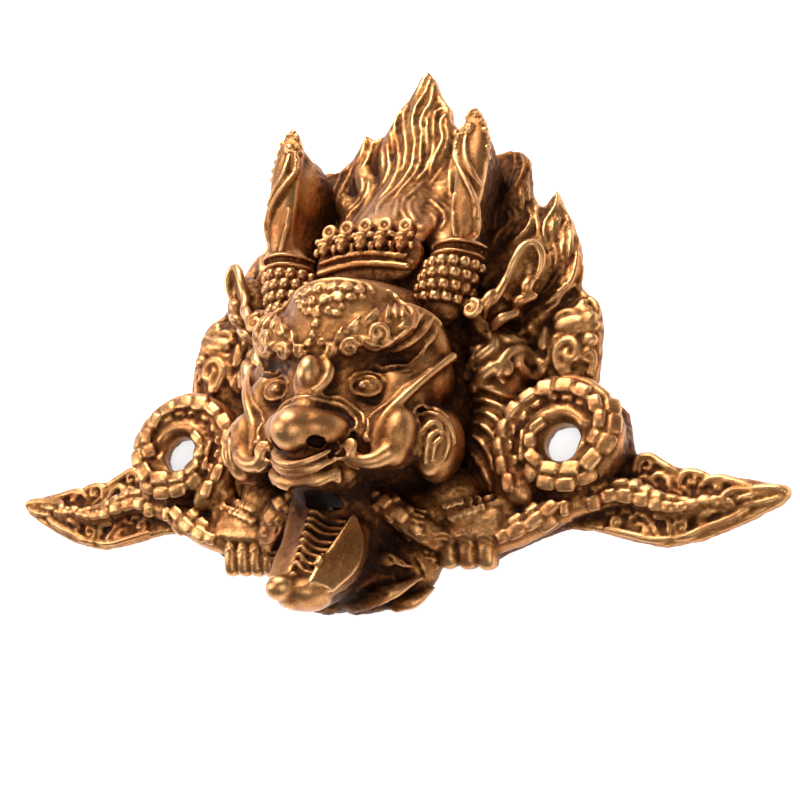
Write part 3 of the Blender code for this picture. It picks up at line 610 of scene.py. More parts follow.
# Leaves along the tail: ridges, and the middles of the curls with size, start and turn
TAIL_RIDGES = [
    ([(103.4, -7.5), (104.2, -4.4), (106.6, -3), (109.6, -3.1), (112.7, -5.1), (115.8, -6.8),
      (119.2, -8.6)], 1.3),
    ([(120.8, -13.9), (120.8, -10.8), (122.4, -9), (125.7, -8.9), (128.6, -9.8), (131.6, -11)], 1.2),
    ([(109, -11.6), (111.4, -10.2), (113.1, -9.3), (116.2, -10.8), (117.9, -14.2), (121.8, -17)], 1.0),
    ([(114.4, -8.1), (117.9, -9.9), (120.4, -12.9), (124.6, -16)], 0.8),
    ([(105.6, -11), (108.1, -10.2), (110.6, -11.6), (112.8, -14)], 0.8),
    ([(128.6, -13.6), (131, -11.6), (134.8, -11.2), (139, -12.2), (143.7, -13.6), (148.3, -14.8)], 1.3),
    ([(137.2, -20.7), (137.8, -18.3), (140.4, -16), (145.6, -15.5), (150.8, -15), (155.4, -15.2),
      (158.2, -16.2)], 1.3),
    ([(143.1, -18.8), (146.9, -17.7), (150.9, -17), (155.4, -16.8)], 0.9),
    ([(144.4, -20.7), (148.1, -20.1), (152.2, -19.4), (156.2, -18)], 1.0),
    ([(95.3, -28.2), (100.6, -29.6), (105.8, -30.8), (109.9, -32), (115.4, -32.6), (120.4, -31.8)], 1.0),
    ([(104.4, -24.6), (108, -23.9), (111.1, -25.8), (113.6, -29.4), (115.6, -32)], 0.9),
    ([(107.5, -26.9), (109.6, -27.8), (111.2, -30.2), (112.2, -32)], 0.8),
    ([(116.2, -25.4), (118, -26.1), (118.6, -29.1), (119.4, -31.4)], 0.8),
    ([(121, -32), (126, -31), (129.7, -29.2), (133.4, -27.6), (138.2, -26), (142.2, -24), (145.5, -22)],
     1.2),
    ([(128.6, -26), (131, -24.2), (134.4, -22.9), (139.2, -22.3), (143.4, -21.6)], 1.0),
    ([(131.1, -25.7), (134.5, -24.6), (138.7, -24.2)], 0.7)]
TAIL_CURLS = [((108.1, -6.7), 3.0, 200, 1.0, -1, 0.9), ((124.7, -11.9), 2.5, 120, 0.9, -1, 0.9),
              ((134.3, -14.4), 1.8, 150, 1.1, -1, 0.8), ((139.5, -20.3), 2.3, 120, 1.2, 1, 1.0),
              ((99.5, -26), 2.5, 240, 1.1, -1, 0.9), ((123.2, -28.2), 2.9, 250, 1.1, -1, 1.0),
              ((110.4, -29.6), 1.8, 60, 1.0, 1, 0.7), ((130.8, -27), 1.7, 80, 1.0, 1, 0.7)]
TAIL_LINE = [(55, -33.5, 8), (65, -30, 8), (74, -25.5, 8), (84, -20.5, 7.5), (93, -18, 6.5),
             (103, -16.5, 5.5), (111, -19, 5), (120, -22, 4.6), (129, -21.5, 4.3), (138, -19, 4),
             (147, -18.4, 3.6)]
TAIL_THICK = [5.4, 5.8, 5.6, 5.2, 5, 4.9, 4.6, 4.2, 3.6, 2.8, 1.6]


def snake_masses(hand_edge):
    path, thick = coil_path()
    forms = [tube(path, thick, sides=16, steps=1),
             disc(COIL, COIL_BED, 0, COIL_TOP * 0.55),
             tube([(COIL[0] + 9.4 * math.cos(a), COIL[1] + 9.4 * math.sin(a), COIL_TOP - 5)
                   for a in np.linspace(0, 2 * math.pi, 24)], 3.0, sides=12, steps=1),
             tube(TAIL_LINE, TAIL_THICK, flat=0.9, sides=14),
             slab([(74, 14), (74, 24), (90, 22)] + TAIL_EDGE + hand_edge + [(0, -53), (0, -20)], 0, PLATE),
             tube([(59, -14, 9), (60, -21, 8), (60, -27, 7)], [5.4, 5, 4], sides=12)]
    return forms


def snake_piece(hand_edge, drop):
    masses = skin(snake_masses(hand_edge), 0.8, 3)
    masses = skin([masses] + hand_masses(drop), 0.7, 2)
    ground = Ground([masses])
    forms = [masses]
    for x, y, long, wide, angle in COIL_SCALES + NECK_SCALES:
        forms.append(ground.scale((x, y), (1.14 * long, 1.14 * wide, 1.1 if wide > 1.5 else 0.9), angle))
    for x, y, long, wide, angle in TAIL_SCALES:
        forms.append(ground.scale((x, y), (1.1 * long, 1.1 * wide, 1.0), angle))
    forms += tail_leaves(ground)
    forms += hand_carving(ground, drop)
    return forms


def offset_line(points, shift):
    line = curve_through(points, 4)
    along = unit(np.gradient(line, axis=0))
    return line + shift * np.stack([-along[:, 1], along[:, 0]], 1)


def tail_leaves(ground):
    forms = []
    for line, thick in TAIL_RIDGES:
        count = len(line)
        forms.append(ground.strand(line, [thick] + [thick * 1.35] * (count - 2) + [thick * 0.8], lift=0.2,
                                   flat=0.85))
    for (x, y), size, start, turns, hand, thick in TAIL_CURLS:
        height, _ = ground.at(x, y)
        forms.append(ground.curl((x, y, height), size, start, turns, hand, thick))
    return forms


def fingers(drop):
    """Middles and half width of the fingers; the hand that hangs lower shows four, the other three."""
    if drop:
        return [(35 + 5.6 * n, -38.4 - 0.8 * drop, 8) for n in range(4)], 2.75
    return [(38.8, -37.4, 8.4), (46.3, -37.6, 8.4), (53.8, -37.8, 8.2)], 3.65


def hand_masses(drop):
    middles, wide = fingers(drop)
    forms = [egg((46, -26.5, 7), (14, 9, 8), turn=(0, 4, 8)),
             pad((46.4, -29, 11.6), (1, 0.08, 0), unit(np.array((0.0, 0.04, 1.0))), (13.2, 6, 2.8), 5),
             egg((38, -18, 9), (12, 11, 11), turn=(0, 0, 30)),
             egg((24, -34, 5), (15, 12, 8)),
             egg((27, -25, 10), (13, 11, 11)),
             tube([(12, -21, 26), (20, -25, 26), (28, -30, 20.6), (36, -34, 12)], [4.6, 5, 5.4, 5], flat=0.7,
                  sides=14),
             tube([(28.6, -25, 12.6), (29, -33, 11.5), (29.6, -41, 7.5)], [2.2, 2.2, 1.8])]
    for x, y, z in middles:
        forms.append(pad((x, y, z), (0, 1, 0.3), unit(np.array((0, -0.3, 1.0))), (6.6, wide, 3.9), 4))
    return forms


def hand_carving(ground, drop):
    forms = []
    for start, end in (((41.4, -27.4), (57.2, -21.0)), ((40.2, -24), (54.6, -18.2))):
        for number in range(7):
            share = number / 6
            x = start[0] + share * (end[0] - start[0])
            y = start[1] + share * (end[1] - start[1])
            height, _ = ground.at(x, y)
            ring = [(x + 1.2 * math.cos(a), y + 1.1 * math.sin(a), height + 0.5)
                    for a in np.linspace(0, 2 * math.pi, 8)]
            forms.append(tube(ring, 0.5, sides=6, steps=2))
            forms.append(bead((x, y, height + 0.4), (0.6, 0.6, 0.7)))
    middles, wide = fingers(drop)
    for x, y, _ in middles:
        for lift in (4.6, 2.9):
            forms.append(ground.strand([(x - 0.7 * wide, y + lift - 1.2), (x, y + lift),
                                        (x + 0.7 * wide, y + lift - 1.2)],
                                       [0.3, 0.55, 0.3], lift=0.2))
    for x, y, long, wide in ((21.6, -25.2, 2.5, 2.6), (26.8, -29.4, 3.0, 2.7), (17.4, -22.4, 1.8, 1.8),
                             (31.4, -33.4, 2.0, 2.0), (25, -23.4, 1.5, 1.4), (29.4, -26.6, 1.6, 1.4),
                             (18, -27.6, 1.5, 1.4), (22.6, -31.2, 1.6, 1.4)):
        forms.append(ground.scale((x, y), (long, wide, 0.8), -40))
    forms.append(ground.strand([(13.6, -27), (19, -31), (25.4, -35.4)], [0.7, 0.8, 0.6], lift=0.2))
    for number in range(8):
        y = -26 - 2.1 * number
        forms.append(ground.strand([(30.2, y), (33.4, y - 0.3)], 0.6, lift=0.3))
    return forms


# Head: the masses that its hollow follows, each with its middle, reach, reach downwards and squareness

HEAD_FORMS = (((0, 10, 4), (42, 76, 31), 38, 2), ((0, 8, 10), (40, 38, 42), 32, 3),
              ((0, 36, 8), (38, 23, 48), 26, 4))
THROAT = ((0, -33, -2), (15, 18, 31))


def head_masses():
    """The big soft forms of the head, before any carving."""
    forms = [egg(centre, (reach[0] - trim, reach[1], reach[2]), down=down, square=square)
             for (centre, reach, down, square), trim in zip(HEAD_FORMS, (0, 2.4, 4.4))]
    forms += [egg((0, -8, 38), (18, 15, 17)),
              egg((0, 2, 50), (7, 9, 8)),
              egg((0, -18, 40), (16, 9, 17)),
              tube([(0, -18, 14), (0, -33, 20), (1, -45, 26), (1, -57, 36), (0.5, -64, 46)],
                   [22, 20, 15, 10, 6], sides=24)]
    side = [tube([(8, 24, 50.4), (16, 29, 47.4), (24.6, 34, 40.6), (31, 35, 33), (35.4, 30, 27)],
                 [4.8, 7.6, 9.4, 8.2, 4.6], sides=20),
            egg((22, 12, 35), (14, 12, 12)),
            egg((31, 21, 27), (9.4, 12, 12)),
            egg((28, -5, 38), (9, 12, 9)),
            egg((21.4, -5, 42), (9, 10, 6.4)),
            egg((38, -4, 25), (9.5, 13.5, 12.5), turn=(0, 25, 0)),
            egg((44, 47, 12), (7, 8, 9)),
            egg((21, -41, 5), (13, 13, 9)),
            egg((6, -45.6, 9), (18, 15, 13))]
    return forms + side + mirrored(side)


def nose():
    """A long drop lying forward, with the wings swelling to each side."""
    wing = [tube([(0, -7.6, 58), (6, -6.8, 56.2), (11.4, -5.8, 52.4)], [7.6, 7.0, 5.6], sides=18)]
    return skin([egg((-0.6, -8.4, 59.8), (8.4, 8.0, 8.2)),
                 egg((0, 0.5, 53.5), (6, 6, 6))] + wing + mirrored(wing),
                0.7, 16)


def head_features():
    """Nose, eyes, cheeks and lips."""
    side = [egg((18.6, 11.4, 43.6), (5.6, 4.4, 5.0)),
            tube([(42, 27.6, 30), (38.8, 20, 36.4), (34.8, 12, 41.8), (30.6, 5.4, 44.6), (27, 0, 46.2),
                  (25.4, -5.6, 46.8), (24.6, -11, 46.6)], [1.9, 1.6, 1.7, 1.9, 1.8, 1.6, 1.6], sides=12),
            egg((31, -4.6, 41.6), (6.4, 9.4, 6.6)),
            egg((29.4, -10.4, 42), (6.2, 6.6, 5.6)),
            tube([(30, -12.4, 44.4), (26, -15.8, 46.4), (21.6, -16.8, 48.2), (17.4, -15.6, 49.8)],
                 [4.2, 3.2, 2.7, 2.2], sides=12),
            scroll((17.2, -12.2), 3.3, 51.2, -80, 1.25, turns=1.2, hand=-1),
            egg((38.6, -4.6, 30.6), (7.2, 12.6, 7), turn=(0, 25, 0)),
            egg((12.4, -22.6, 47.6), (2.0, 2.4, 2.0))]
    middle = [egg((0, 14, 55.4), (4.6, 6.6, 5.6)),
              tube([(-3.4, 20.4, 54), (-6, 16, 53.4), (-6, 11, 54), (-2.6, 6.6, 56), (2.6, 6.6, 56),
                    (6, 11, 54),
                    (6.4, 16, 53.4), (3.6, 20.6, 54)], [0.9, 1.2, 1.3, 1.4, 1.5, 2.2, 2.3, 1.3], sides=12),
              tube([(-12, -14.6, 53.4), (-8, -18, 56), (-2.6, -20.2, 57.8), (3, -20.2, 58), (8, -18, 56.6),
                    (12, -14.4, 54)], [0.9, 1.3, 1.4, 1.4, 1.3, 0.9], sides=12),
              tube([(-12.6, -17.2, 51.6), (-8, -20.6, 54.6), (-2.4, -22.6, 56), (3.4, -22.6, 56.2),
                    (8.6, -20.6, 54.8),
                    (12.4, -17.4, 52)], [0.9, 1.3, 1.5, 1.5, 1.3, 0.9], sides=12),
              tube([(-11, -13, 53), (-4, -17, 56.4), (3, -17, 56.6), (9, -14, 54)], [0.9, 1.0, 1.0, 0.9],
                   sides=10),
              tube([(-13.4, -20.4, 48.6), (-7, -24, 51.4), (0, -25.2, 52.4), (7, -24, 51.6),
                    (12.6, -20.6, 49)],
                   [2.4, 3.4, 3.7, 3.3, 2.2], flat=0.8, sides=12)]
    return [nose()] + middle + side + mirrored(side)


# Edges of the open beak, from the throat to the tip
JAW_RIM = [
    (14.6, -33, 36.6), (13.5, -38.8, 39.5), (12.2, -45.9, 43), (10.5, -52.5, 46.5), (9.4, -60.6, 50)]
JAW_OUTSIDE = [(15.6, -34, 35), (17.6, -40, 33.4), (19.4, -46.4, 35), (19.4, -54, 39), (15.4, -62.6, 45)]
JAW_LEFT_RIM = [(-11.6, -29, 34), (-11.4, -36, 36.4), (-10.4, -43, 38.6), (-11, -50, 41), (-9.6, -58, 45)]
JAW_NODES = [(-0.4, -31, 39), (-0.4, -37, 41.4), (-0.6, -43.6, 43), (-0.2, -50, 45.2), (0.8, -58.6, 49)]


def jaw_features():
    """The open beak: a ribbed gutter between a smooth inner wall and a rail, meeting in a knob."""
    inner = [(x - 0.4, y, z - 0.4) for x, y, z in JAW_NODES]
    rim = [(x - 0.2, y, z) for x, y, z in JAW_RIM]
    return [sheet(JAW_LEFT_RIM, inner, 2.6), tube(JAW_LEFT_RIM, 1.5, sides=12), tube(rim, 1.35, sides=12),
            sheet(rim, JAW_OUTSIDE, 2.4),
            tube([(13, -36, 30), (13, -44, 32.4), (12.6, -52, 36), (9, -59, 41)], [5, 6, 6, 5], sides=18),
            egg((-1.4, -62.6, 51.4), (5.6, 4.6, 4.8), turn=(0, 0, 14)),
            egg((4, -62.6, 43), (9, 6, 9))]


def head_skin():
    """The head with its features and beard, before the fine carving."""
    masses = skin(head_masses(), 1.3, 10)
    masses = dented(masses, [((19, 11, 46), 9, 3.4), ((-19, 11, 46), 9, 3.4)])
    beard = beard_masses()
    return skin([masses] + head_features() + jaw_features() + beard + mirrored(beard), 0.75, 3)


# Leaves of the brow: root, middle, tip and half width
BROW_LEAVES = [((8.2, 24.4, 54), (9.6, 27.8, 54.1), (10.8, 31, 53.9), 2.2),
               ((12.6, 28, 53.8), (14.8, 30.8, 53.4), (17.2, 34.4, 52.1), 2.6),
               ((18, 30.6, 53), (19.6, 34.4, 51.7), (21.2, 39, 49.2), 2.4),
               ((24.8, 33.8, 50.7), (24.4, 37.6, 49.3), (22.9, 41.6, 47), 1.6),
               ((27.8, 35, 49), (26.6, 38.4, 48.3), (24.8, 42.2, 46), 1.4),
               ((29.8, 35, 48.2), (29.2, 38.6, 47.4), (27.8, 42.4, 45.4), 1.3),
               ((23.6, 25.6, 49.6), (20.6, 25.4, 51.8), (17.4, 27.4, 53), 2.9),
               ((28.6, 29, 47.6), (25.4, 26.2, 48.6), (21, 23.4, 50), 2.2)]
FACE_STRANDS = [
    # hair sweeping round the outer end of the brow
    ([(29.2, 42.4, 44.4), (31.6, 40.6, 45), (32.9, 37, 45.9), (32.4, 33, 46.4), (30.4, 30.4, 46.7),
      (27.6, 28.4, 47.2)], 1.0),
    ([(31, 43, 43.2), (33.6, 40.6, 44), (34.6, 37, 44.8), (34.2, 33.2, 45.2)], 0.9),
    ([(28.4, 39.6, 47), (30.6, 37.6, 46.9), (30.8, 34.6, 47.2), (28.8, 32, 47.8)], 0.9),
    # rims of the eyelids
    ([(12.4, 13, 49), (13.8, 15.2, 48), (16.4, 16.6, 47), (19.4, 16.8, 46), (22.4, 15.8, 45.4),
      (24.8, 13.4, 45.6)], 0.8),
    ([(13.6, 11.6, 49), (14.8, 13.6, 48.2), (17.2, 14.8, 47.2), (20.2, 14.5, 46.9), (22.6, 12.9, 46.5),
      (23.6, 11, 45.6), (22.4, 8.9, 46), (19.4, 7.7, 46.8), (16, 8, 47.6), (14, 9.6, 48.4),
      (13.6, 11.6, 49)], 0.75),
    # folds round the wing of the nose
    ([(-1, 3.4, 57.5), (4, 3.6, 56.4), (9, 3.8, 53), (13.6, 2.2, 50.4), (16.6, -0.7, 49.4),
      (17.6, -4.2, 49), (16.2, -8, 50), (13.6, -11.4, 51.4), (13.2, -15.4, 51.4), (16, -18.8, 49.6),
      (20, -20, 47.6)], 0.95),
    ([(4, 5.8, 56), (9.6, 6, 51.4), (14.6, 4.4, 49.8), (18.6, 1, 48.4), (20, -3, 48)], 0.6),
    # rolled rim of the cheek
    ([(37.6, 21, 37.6), (33.4, 14, 41.6), (28.6, 7.6, 43), (24.6, 3.6, 45), (22, -0.4, 46)], 0.6),
    ([(21.4, -1.6, 46.6), (22.4, -4.4, 47), (21.8, -7, 47)], 0.8),
    # the line that runs from the crown down the temple
    ([(24, 52, 47), (28, 49.4, 46), (33, 45.4, 44), (37.4, 42, 40), (40.4, 39.1, 35)], 1.1),
    # hair drawn over the temple
    ([(24.4, 27.4, 46), (31, 32.6, 45), (35, 39.3, 43), (35.4, 43, 42)], 0.7),
    ([(26.1, 24, 44), (33.3, 30, 42), (37.2, 36.9, 40), (38, 40.4, 39)], 0.7),
    ([(23.4, 19.6, 46), (30.9, 22.4, 42), (36.6, 29, 38), (38.8, 34.6, 37)], 0.8),
    # petals of the ear-ring
    ([(37.5, -11, 37.3), (38, -5.5, 38.4), (39.1, -1.5, 38), (41.4, 0.6, 37), (43.2, -0.4, 36),
      (44.2, -2.8, 35.6)], 1.4),
    ([(39.5, -13.4, 36.2), (40.2, -8.6, 37.4), (41.3, -4.4, 37.2), (42.9, -2.9, 36.3)], 1.2),
    ([(42, -12.6, 35.7), (42.6, -7.6, 36.3), (44.3, -4.9, 35.5)], 1.1),
    ([(35.4, -10.6, 38), (35.8, -5, 38.6), (36.8, -0.4, 38.6)], 1.1),
    ([(34.4, 2.6, 40), (34.4, 6, 37.8), (37.4, 7.4, 34.6), (41, 5.9, 34.2), (44, 3.2, 32.6)], 1.1),
    ([(35.4, -0.2, 40), (35.6, 4, 37), (38.6, 4.6, 36), (42.4, 3.2, 35), (45.4, 0, 33), (46.6, -5, 31)],
     1.1),
    ([(45.2, -2.6, 34), (46, -6.8, 33), (44.8, -11.6, 32.6)], 1.0)]
FACE_CURLS = [((13.5, 23.6, 53.3), 3.7, 20, 1.5, 1, 1.2), ((22.4, 29.4, 51), 3.9, -60, 1.3, 1, 1.25),
              ((6.4, 23.4, 54), 2.7, 200, 1.2, 1, 1.0), ((22.4, -8.2, 47), 1.5, 90, 1.0, 1, 0.9),
              ((2.6, 25.2, 54.4), 1.6, 0, 1.0, 1, 0.8)]
# Lines cut into the skin of the face: path, width and depth
FACE_GROOVES = [
    ([(18.1, 39.5, 50.1), (21.1, 43.4, 47.1), (24.8, 45.4, 43.1), (29, 44.5, 41.6)], 1.2, 0.7),
    ([(12.2, 36.7, 53.3), (14.5, 38.1, 52.1), (17.5, 39, 50.4)], 1.0, 0.5),
    ([(25.4, 25.6, 45.4), (30.6, 29, 44.4), (34, 34, 43), (36, 39, 41)], 1.1, 0.9),
    ([(26, 21.6, 43), (31.4, 25.4, 41.4), (35.6, 31, 39.6), (37.6, 36.4, 38)], 1.1, 0.9),
    ([(20, 18.4, 45.2), (24.1, 17.8, 45.2), (29, 20, 42), (34, 25.4, 38.6)], 1.3, 1.0),
    ([(27, 15.6, 44), (31.6, 18.4, 41), (36, 24, 38), (38.6, 30, 34.6)], 1.1, 0.8),
    ([(27.6, 13, 43.4), (31, 15, 41.6), (34.6, 19.4, 39)], 0.9, 0.6)]
LIP_GROOVES = [
    ([(-12.4, -15.8, 53), (-8, -19.3, 56), (-2.6, -21.4, 57.6), (3, -21.4, 57.8), (8.4, -19.3, 56.4),
      (12.2, -15.8, 53.4)], 0.8, 1.3),
    ([(-13.4, -18.6, 50.6), (-7.4, -22.8, 54), (0, -24.2, 55), (7.2, -22.8, 54.2), (12.8, -18.8, 51)],
     0.8, 1.3),
    ([(-12, -22.6, 49.6), (-6, -26, 52.6), (1, -27, 53.2), (8, -25.4, 52)], 0.6, 0.7)]
BEARD_GROOVES = [
    ([(5, -56.6, 18), (12, -54.6, 19.6), (20, -51, 17), (28, -47, 12)], 0.8, 1.0),
    ([(12, -50, 22.6), (16, -48.6, 21.4), (20.4, -48.4, 17)], 0.6, 0.6),
    ([(12, -58, 17.6), (19, -55.8, 17.6), (25.6, -51.6, 13.6)], 0.6, 0.6),
    ([(26, -38, 15), (28.6, -43, 12), (31, -48, 9)], 0.8, 0.8),
    ([(29, -36, 14), (31.6, -41, 12), (33.4, -46, 8)], 0.8, 0.8),
    ([(17.6, -34.2, 30), (21, -40, 25), (22.9, -45.3, 18)], 0.9, 0.8),
    ([(19.7, -32.8, 29), (23.5, -39, 24), (25.4, -44.3, 17)], 0.9, 0.8),
    ([(21.6, -31.5, 27), (25.5, -38.1, 22), (27.4, -43.4, 15)], 0.9, 0.8),
    ([(23.2, -30.9, 25), (27.1, -37.1, 20), (29.6, -42.4, 14)], 0.9, 0.8)]


def face_details(ground):
    """The carving of one side of the face."""
    forms = []
    for *line, wide in BROW_LEAVES:
        forms.append(ground.strand(line, [0.35, wide, wide * 0.95, 0.3], lift=0.35, flat=0.62))
        forms.append(ground.strand(line, [0.3, 0.45, 0.3], lift=0.35 + 0.62 * wide, flat=0.8))
    for line, thick in FACE_STRANDS:
        count = len(line)
        forms.append(ground.strand(line, [thick * 0.7] + [thick] * (count - 2) + [thick * 0.7], lift=0.3,
                                   flat=1.0))
    for centre, size, start, turns, hand, thick in FACE_CURLS:
        forms.append(ground.curl(centre, size, start, turns, hand, thick))
    ball_place, facing = ground.near((17.8, 11, 49.2))
    forms.append(bead(ball_place + 0.1 * facing, (1.7, 1.7, 1.5)))
    forms.append(ground.curl(tuple(ball_place), 2.9, 0, 1.0, 1, 0.55, lift=0.1))
    for place in ((25.6, 33.6, 50.4), (27, 38.6, 48)):
        spot, _ = ground.near(place)
        forms.append(bead(spot, (1.1, 1.1, 1.1)))
    return forms


def pendant(ground):
    """The leafy ornament that hangs over the middle of the forehead."""
    rim = [(-16, 48.4, 48), (-8, 50.6, 51), (0, 51.2, 51.6), (8, 51, 51.4), (15.4, 50, 50), (17.4, 47, 49.6)]
    forms = [ground.strand(rim, 1.0, lift=0.4)]
    for place, size, start, hand in (((-2.2, 46.1, 54.6), 2.9, 0, 1), ((3.6, 46.6, 54), 2.2, 90, 1),
                                     ((8.6, 46.8, 53.4), 2.3, 200, -1), ((13.2, 46.9, 51.4), 1.9, 90, 1),
                                     ((6.4, 42.2, 54.9), 2.3, 180, -1), ((1.4, 41.2, 55.4), 2.2, 0, 1),
                                     ((10.8, 42.6, 53.6), 1.6, 0, 1), ((-0.4, 36.6, 55.7), 2.1, 90, 1),
                                     ((-3.8, 41, 55.2), 2.1, 180, -1), ((-8, 45.8, 53.6), 2.4, 90, -1),
                                     ((-13, 46.2, 51.4), 2.0, 0, -1), ((-8.6, 41, 54.2), 1.8, 200, 1),
                                     ((-4.4, 36.8, 55.4), 1.6, 0, 1), ((4, 37.4, 55.6), 1.7, 0, -1),
                                     ((7.1, 36, 55), 1.3, 0, 1), ((-0.9, 32.4, 55.7), 1.5, 90, -1)):
        forms.append(ground.curl(place, size, start, 1.15, hand, 0.4 + 0.2 * size))
    for place in ((14.6, 43.8, 52), (8.4, 39.2, 54.6), (-11.6, 42.6, 52.8), (-6.8, 38, 54.8)):
        spot, facing = ground.near(place)
        forms.append(bead(spot + 0.2 * facing, (1.0, 1.0, 0.9)))
    spot, facing = ground.near((-1.3, 28.6, 55.6))
    forms.append(bead(spot + 0.3 * facing, (1.4, 1.6, 1.2)))
    return forms


def jaw_details(ground):
    """Ribs of the gutter, each with a round node at its inner end, and a curl on the beard."""
    forms = []
    nodes, rail = curve_through(JAW_NODES, 12), curve_through(JAW_RIM, 12)
    ribs = 9
    for number in range(ribs):
        share = 0.06 + 0.9 * number / (ribs - 1)
        node = nodes[int(share * (len(nodes) - 1))]
        end = rail[int(share * (len(rail) - 1))] + (-1.6, -0.8, -1.4)
        middle = 0.55 * node + 0.45 * end + (0, -0.7, -0.4)
        forms.append(bead(node + (0.6, 0, 0.2), (1.9, 1.15, 1.6)))
        forms.append(tube([node + (0.6, 0, 0.3), middle + (0, -0.5, -0.6), end], [1.25, 0.95, 0.9], sides=8))
    height, _ = ground.at(10.1, -51.8)
    forms.append(ground.curl((10.1, -51.8, height), 2.6, 90, 1.3, 1, 0.9))
    return forms


def beard_masses():
    """The beard that falls beside the beak: leaves one over the other, pointing outward."""
    return [tube([(5.2, -54, 19), (10, -51.6, 21.4), (15.3, -49.4, 20.4), (21.6, -48.4, 15)],
                 [4, 4.6, 3.4, 0.9],
                 flat=0.6, sides=16),
            tube([(6, -59, 15), (15, -57.4, 17.6), (23, -53.4, 15.4), (29.6, -47.6, 10)],
                 [3.6, 3.8, 3.2, 0.9],
                 flat=0.6, sides=16),
            tube([(17, -44, 21), (21, -43.6, 19.6), (26.6, -44.6, 14)], [2.6, 3, 0.9], flat=0.6, sides=14),
            tube([(20, -57, 9), (27, -55.4, 8), (33, -50, 6)], [3.4, 3, 1.0], flat=0.6, sides=14),
            tube([(28, -50, 4), (22, -53, 6), (13, -56, 9), (5, -58.4, 12)], [3.2, 3.8, 4, 4], sides=14)]


def head_piece():
    masses = head_skin()
    ground = Ground([masses])
    side = face_details(ground)
    return [masses] + side + mirrored(side) + pendant(ground) + jaw_details(ground)


# Crown, horns and ears

def crown_forms():
    """The diadem: a corded band, and five small heads with loops over it."""
    top = CROWN_TOP
    arch = [(-18.6, 64, top - 6.2), (-10, 65, top - 4.8), (0, 65.4, top - 4), (10, 65, top - 4.8),
            (18.6, 64, top - 6.2)]
    forms = [tube([(x, y - 0.4, z - 0.4) for x, y, z in arch], 1.5, sides=12),
             tube([(x * 0.95, y + 3, z - 3.2) for x, y, z in arch], 2.8, sides=12),
             egg((0, 70, top - 11), (22, 13, 7))]
    cord = curve_through([(x * 0.94, y + 3.4, z + 0.3) for x, y, z in arch], 7)
    forms.append(tube(cord[::6], 1.1, sides=8))
    for here in cord:
        forms.append(pad(here, (0.75, 0.65, 0), np.array((0, 0, 1.0)), (1.6, 0.6, 1.3), 2))
    for number in range(-2, 3):
        across = number * HEAD_SPACING
        drop = 0.006 * across ** 2
        middle = np.array((across, 73.6 - drop * 0.4, top - 2.6 - drop))
        forms.append(bead(middle, (3.1, 3.2, 2.8)))
        forms.append(bead(middle + (0, -2.5, 0.8), (1.7, 1.4, 1.7)))
        forms.append(bead(middle + (0, 1.9, 1.8), (2.3, 1.0, 1.2)))
        for side in (-1, 1):
            forms.append(bead(middle + (side * 1.2, -0.2, 2.4), (0.8, 0.8, 0.7)))
            forms.append(bead(middle + (side * 3.5, 2.2, -0.2), (1.5, 1.5, 1.5)))
            forms.append(bead(middle + (side * 3.9, -1.8, -0.8), (1.2, 1.9, 1.4)))
        loop = middle + (0.4, 6.2, -1.6)
        ring = [loop + (2.2 * math.cos(a), 2.2 * math.sin(a), 0.8)
                for a in np.linspace(0, 2 * math.pi, 9)]
        forms.append(egg(loop + (0, 0, -2.0), (2.8, 2.8, 3.2)))
        forms.append(tube(ring, 1.1, sides=8, steps=2))
        forms.append(bead(loop, (0.9, 0.9, 1.3)))
    return forms


def sleeve_middle(up):
    """The sleeve leans outward as it rises."""
    return 30.5 + (up - 49) * 0.27


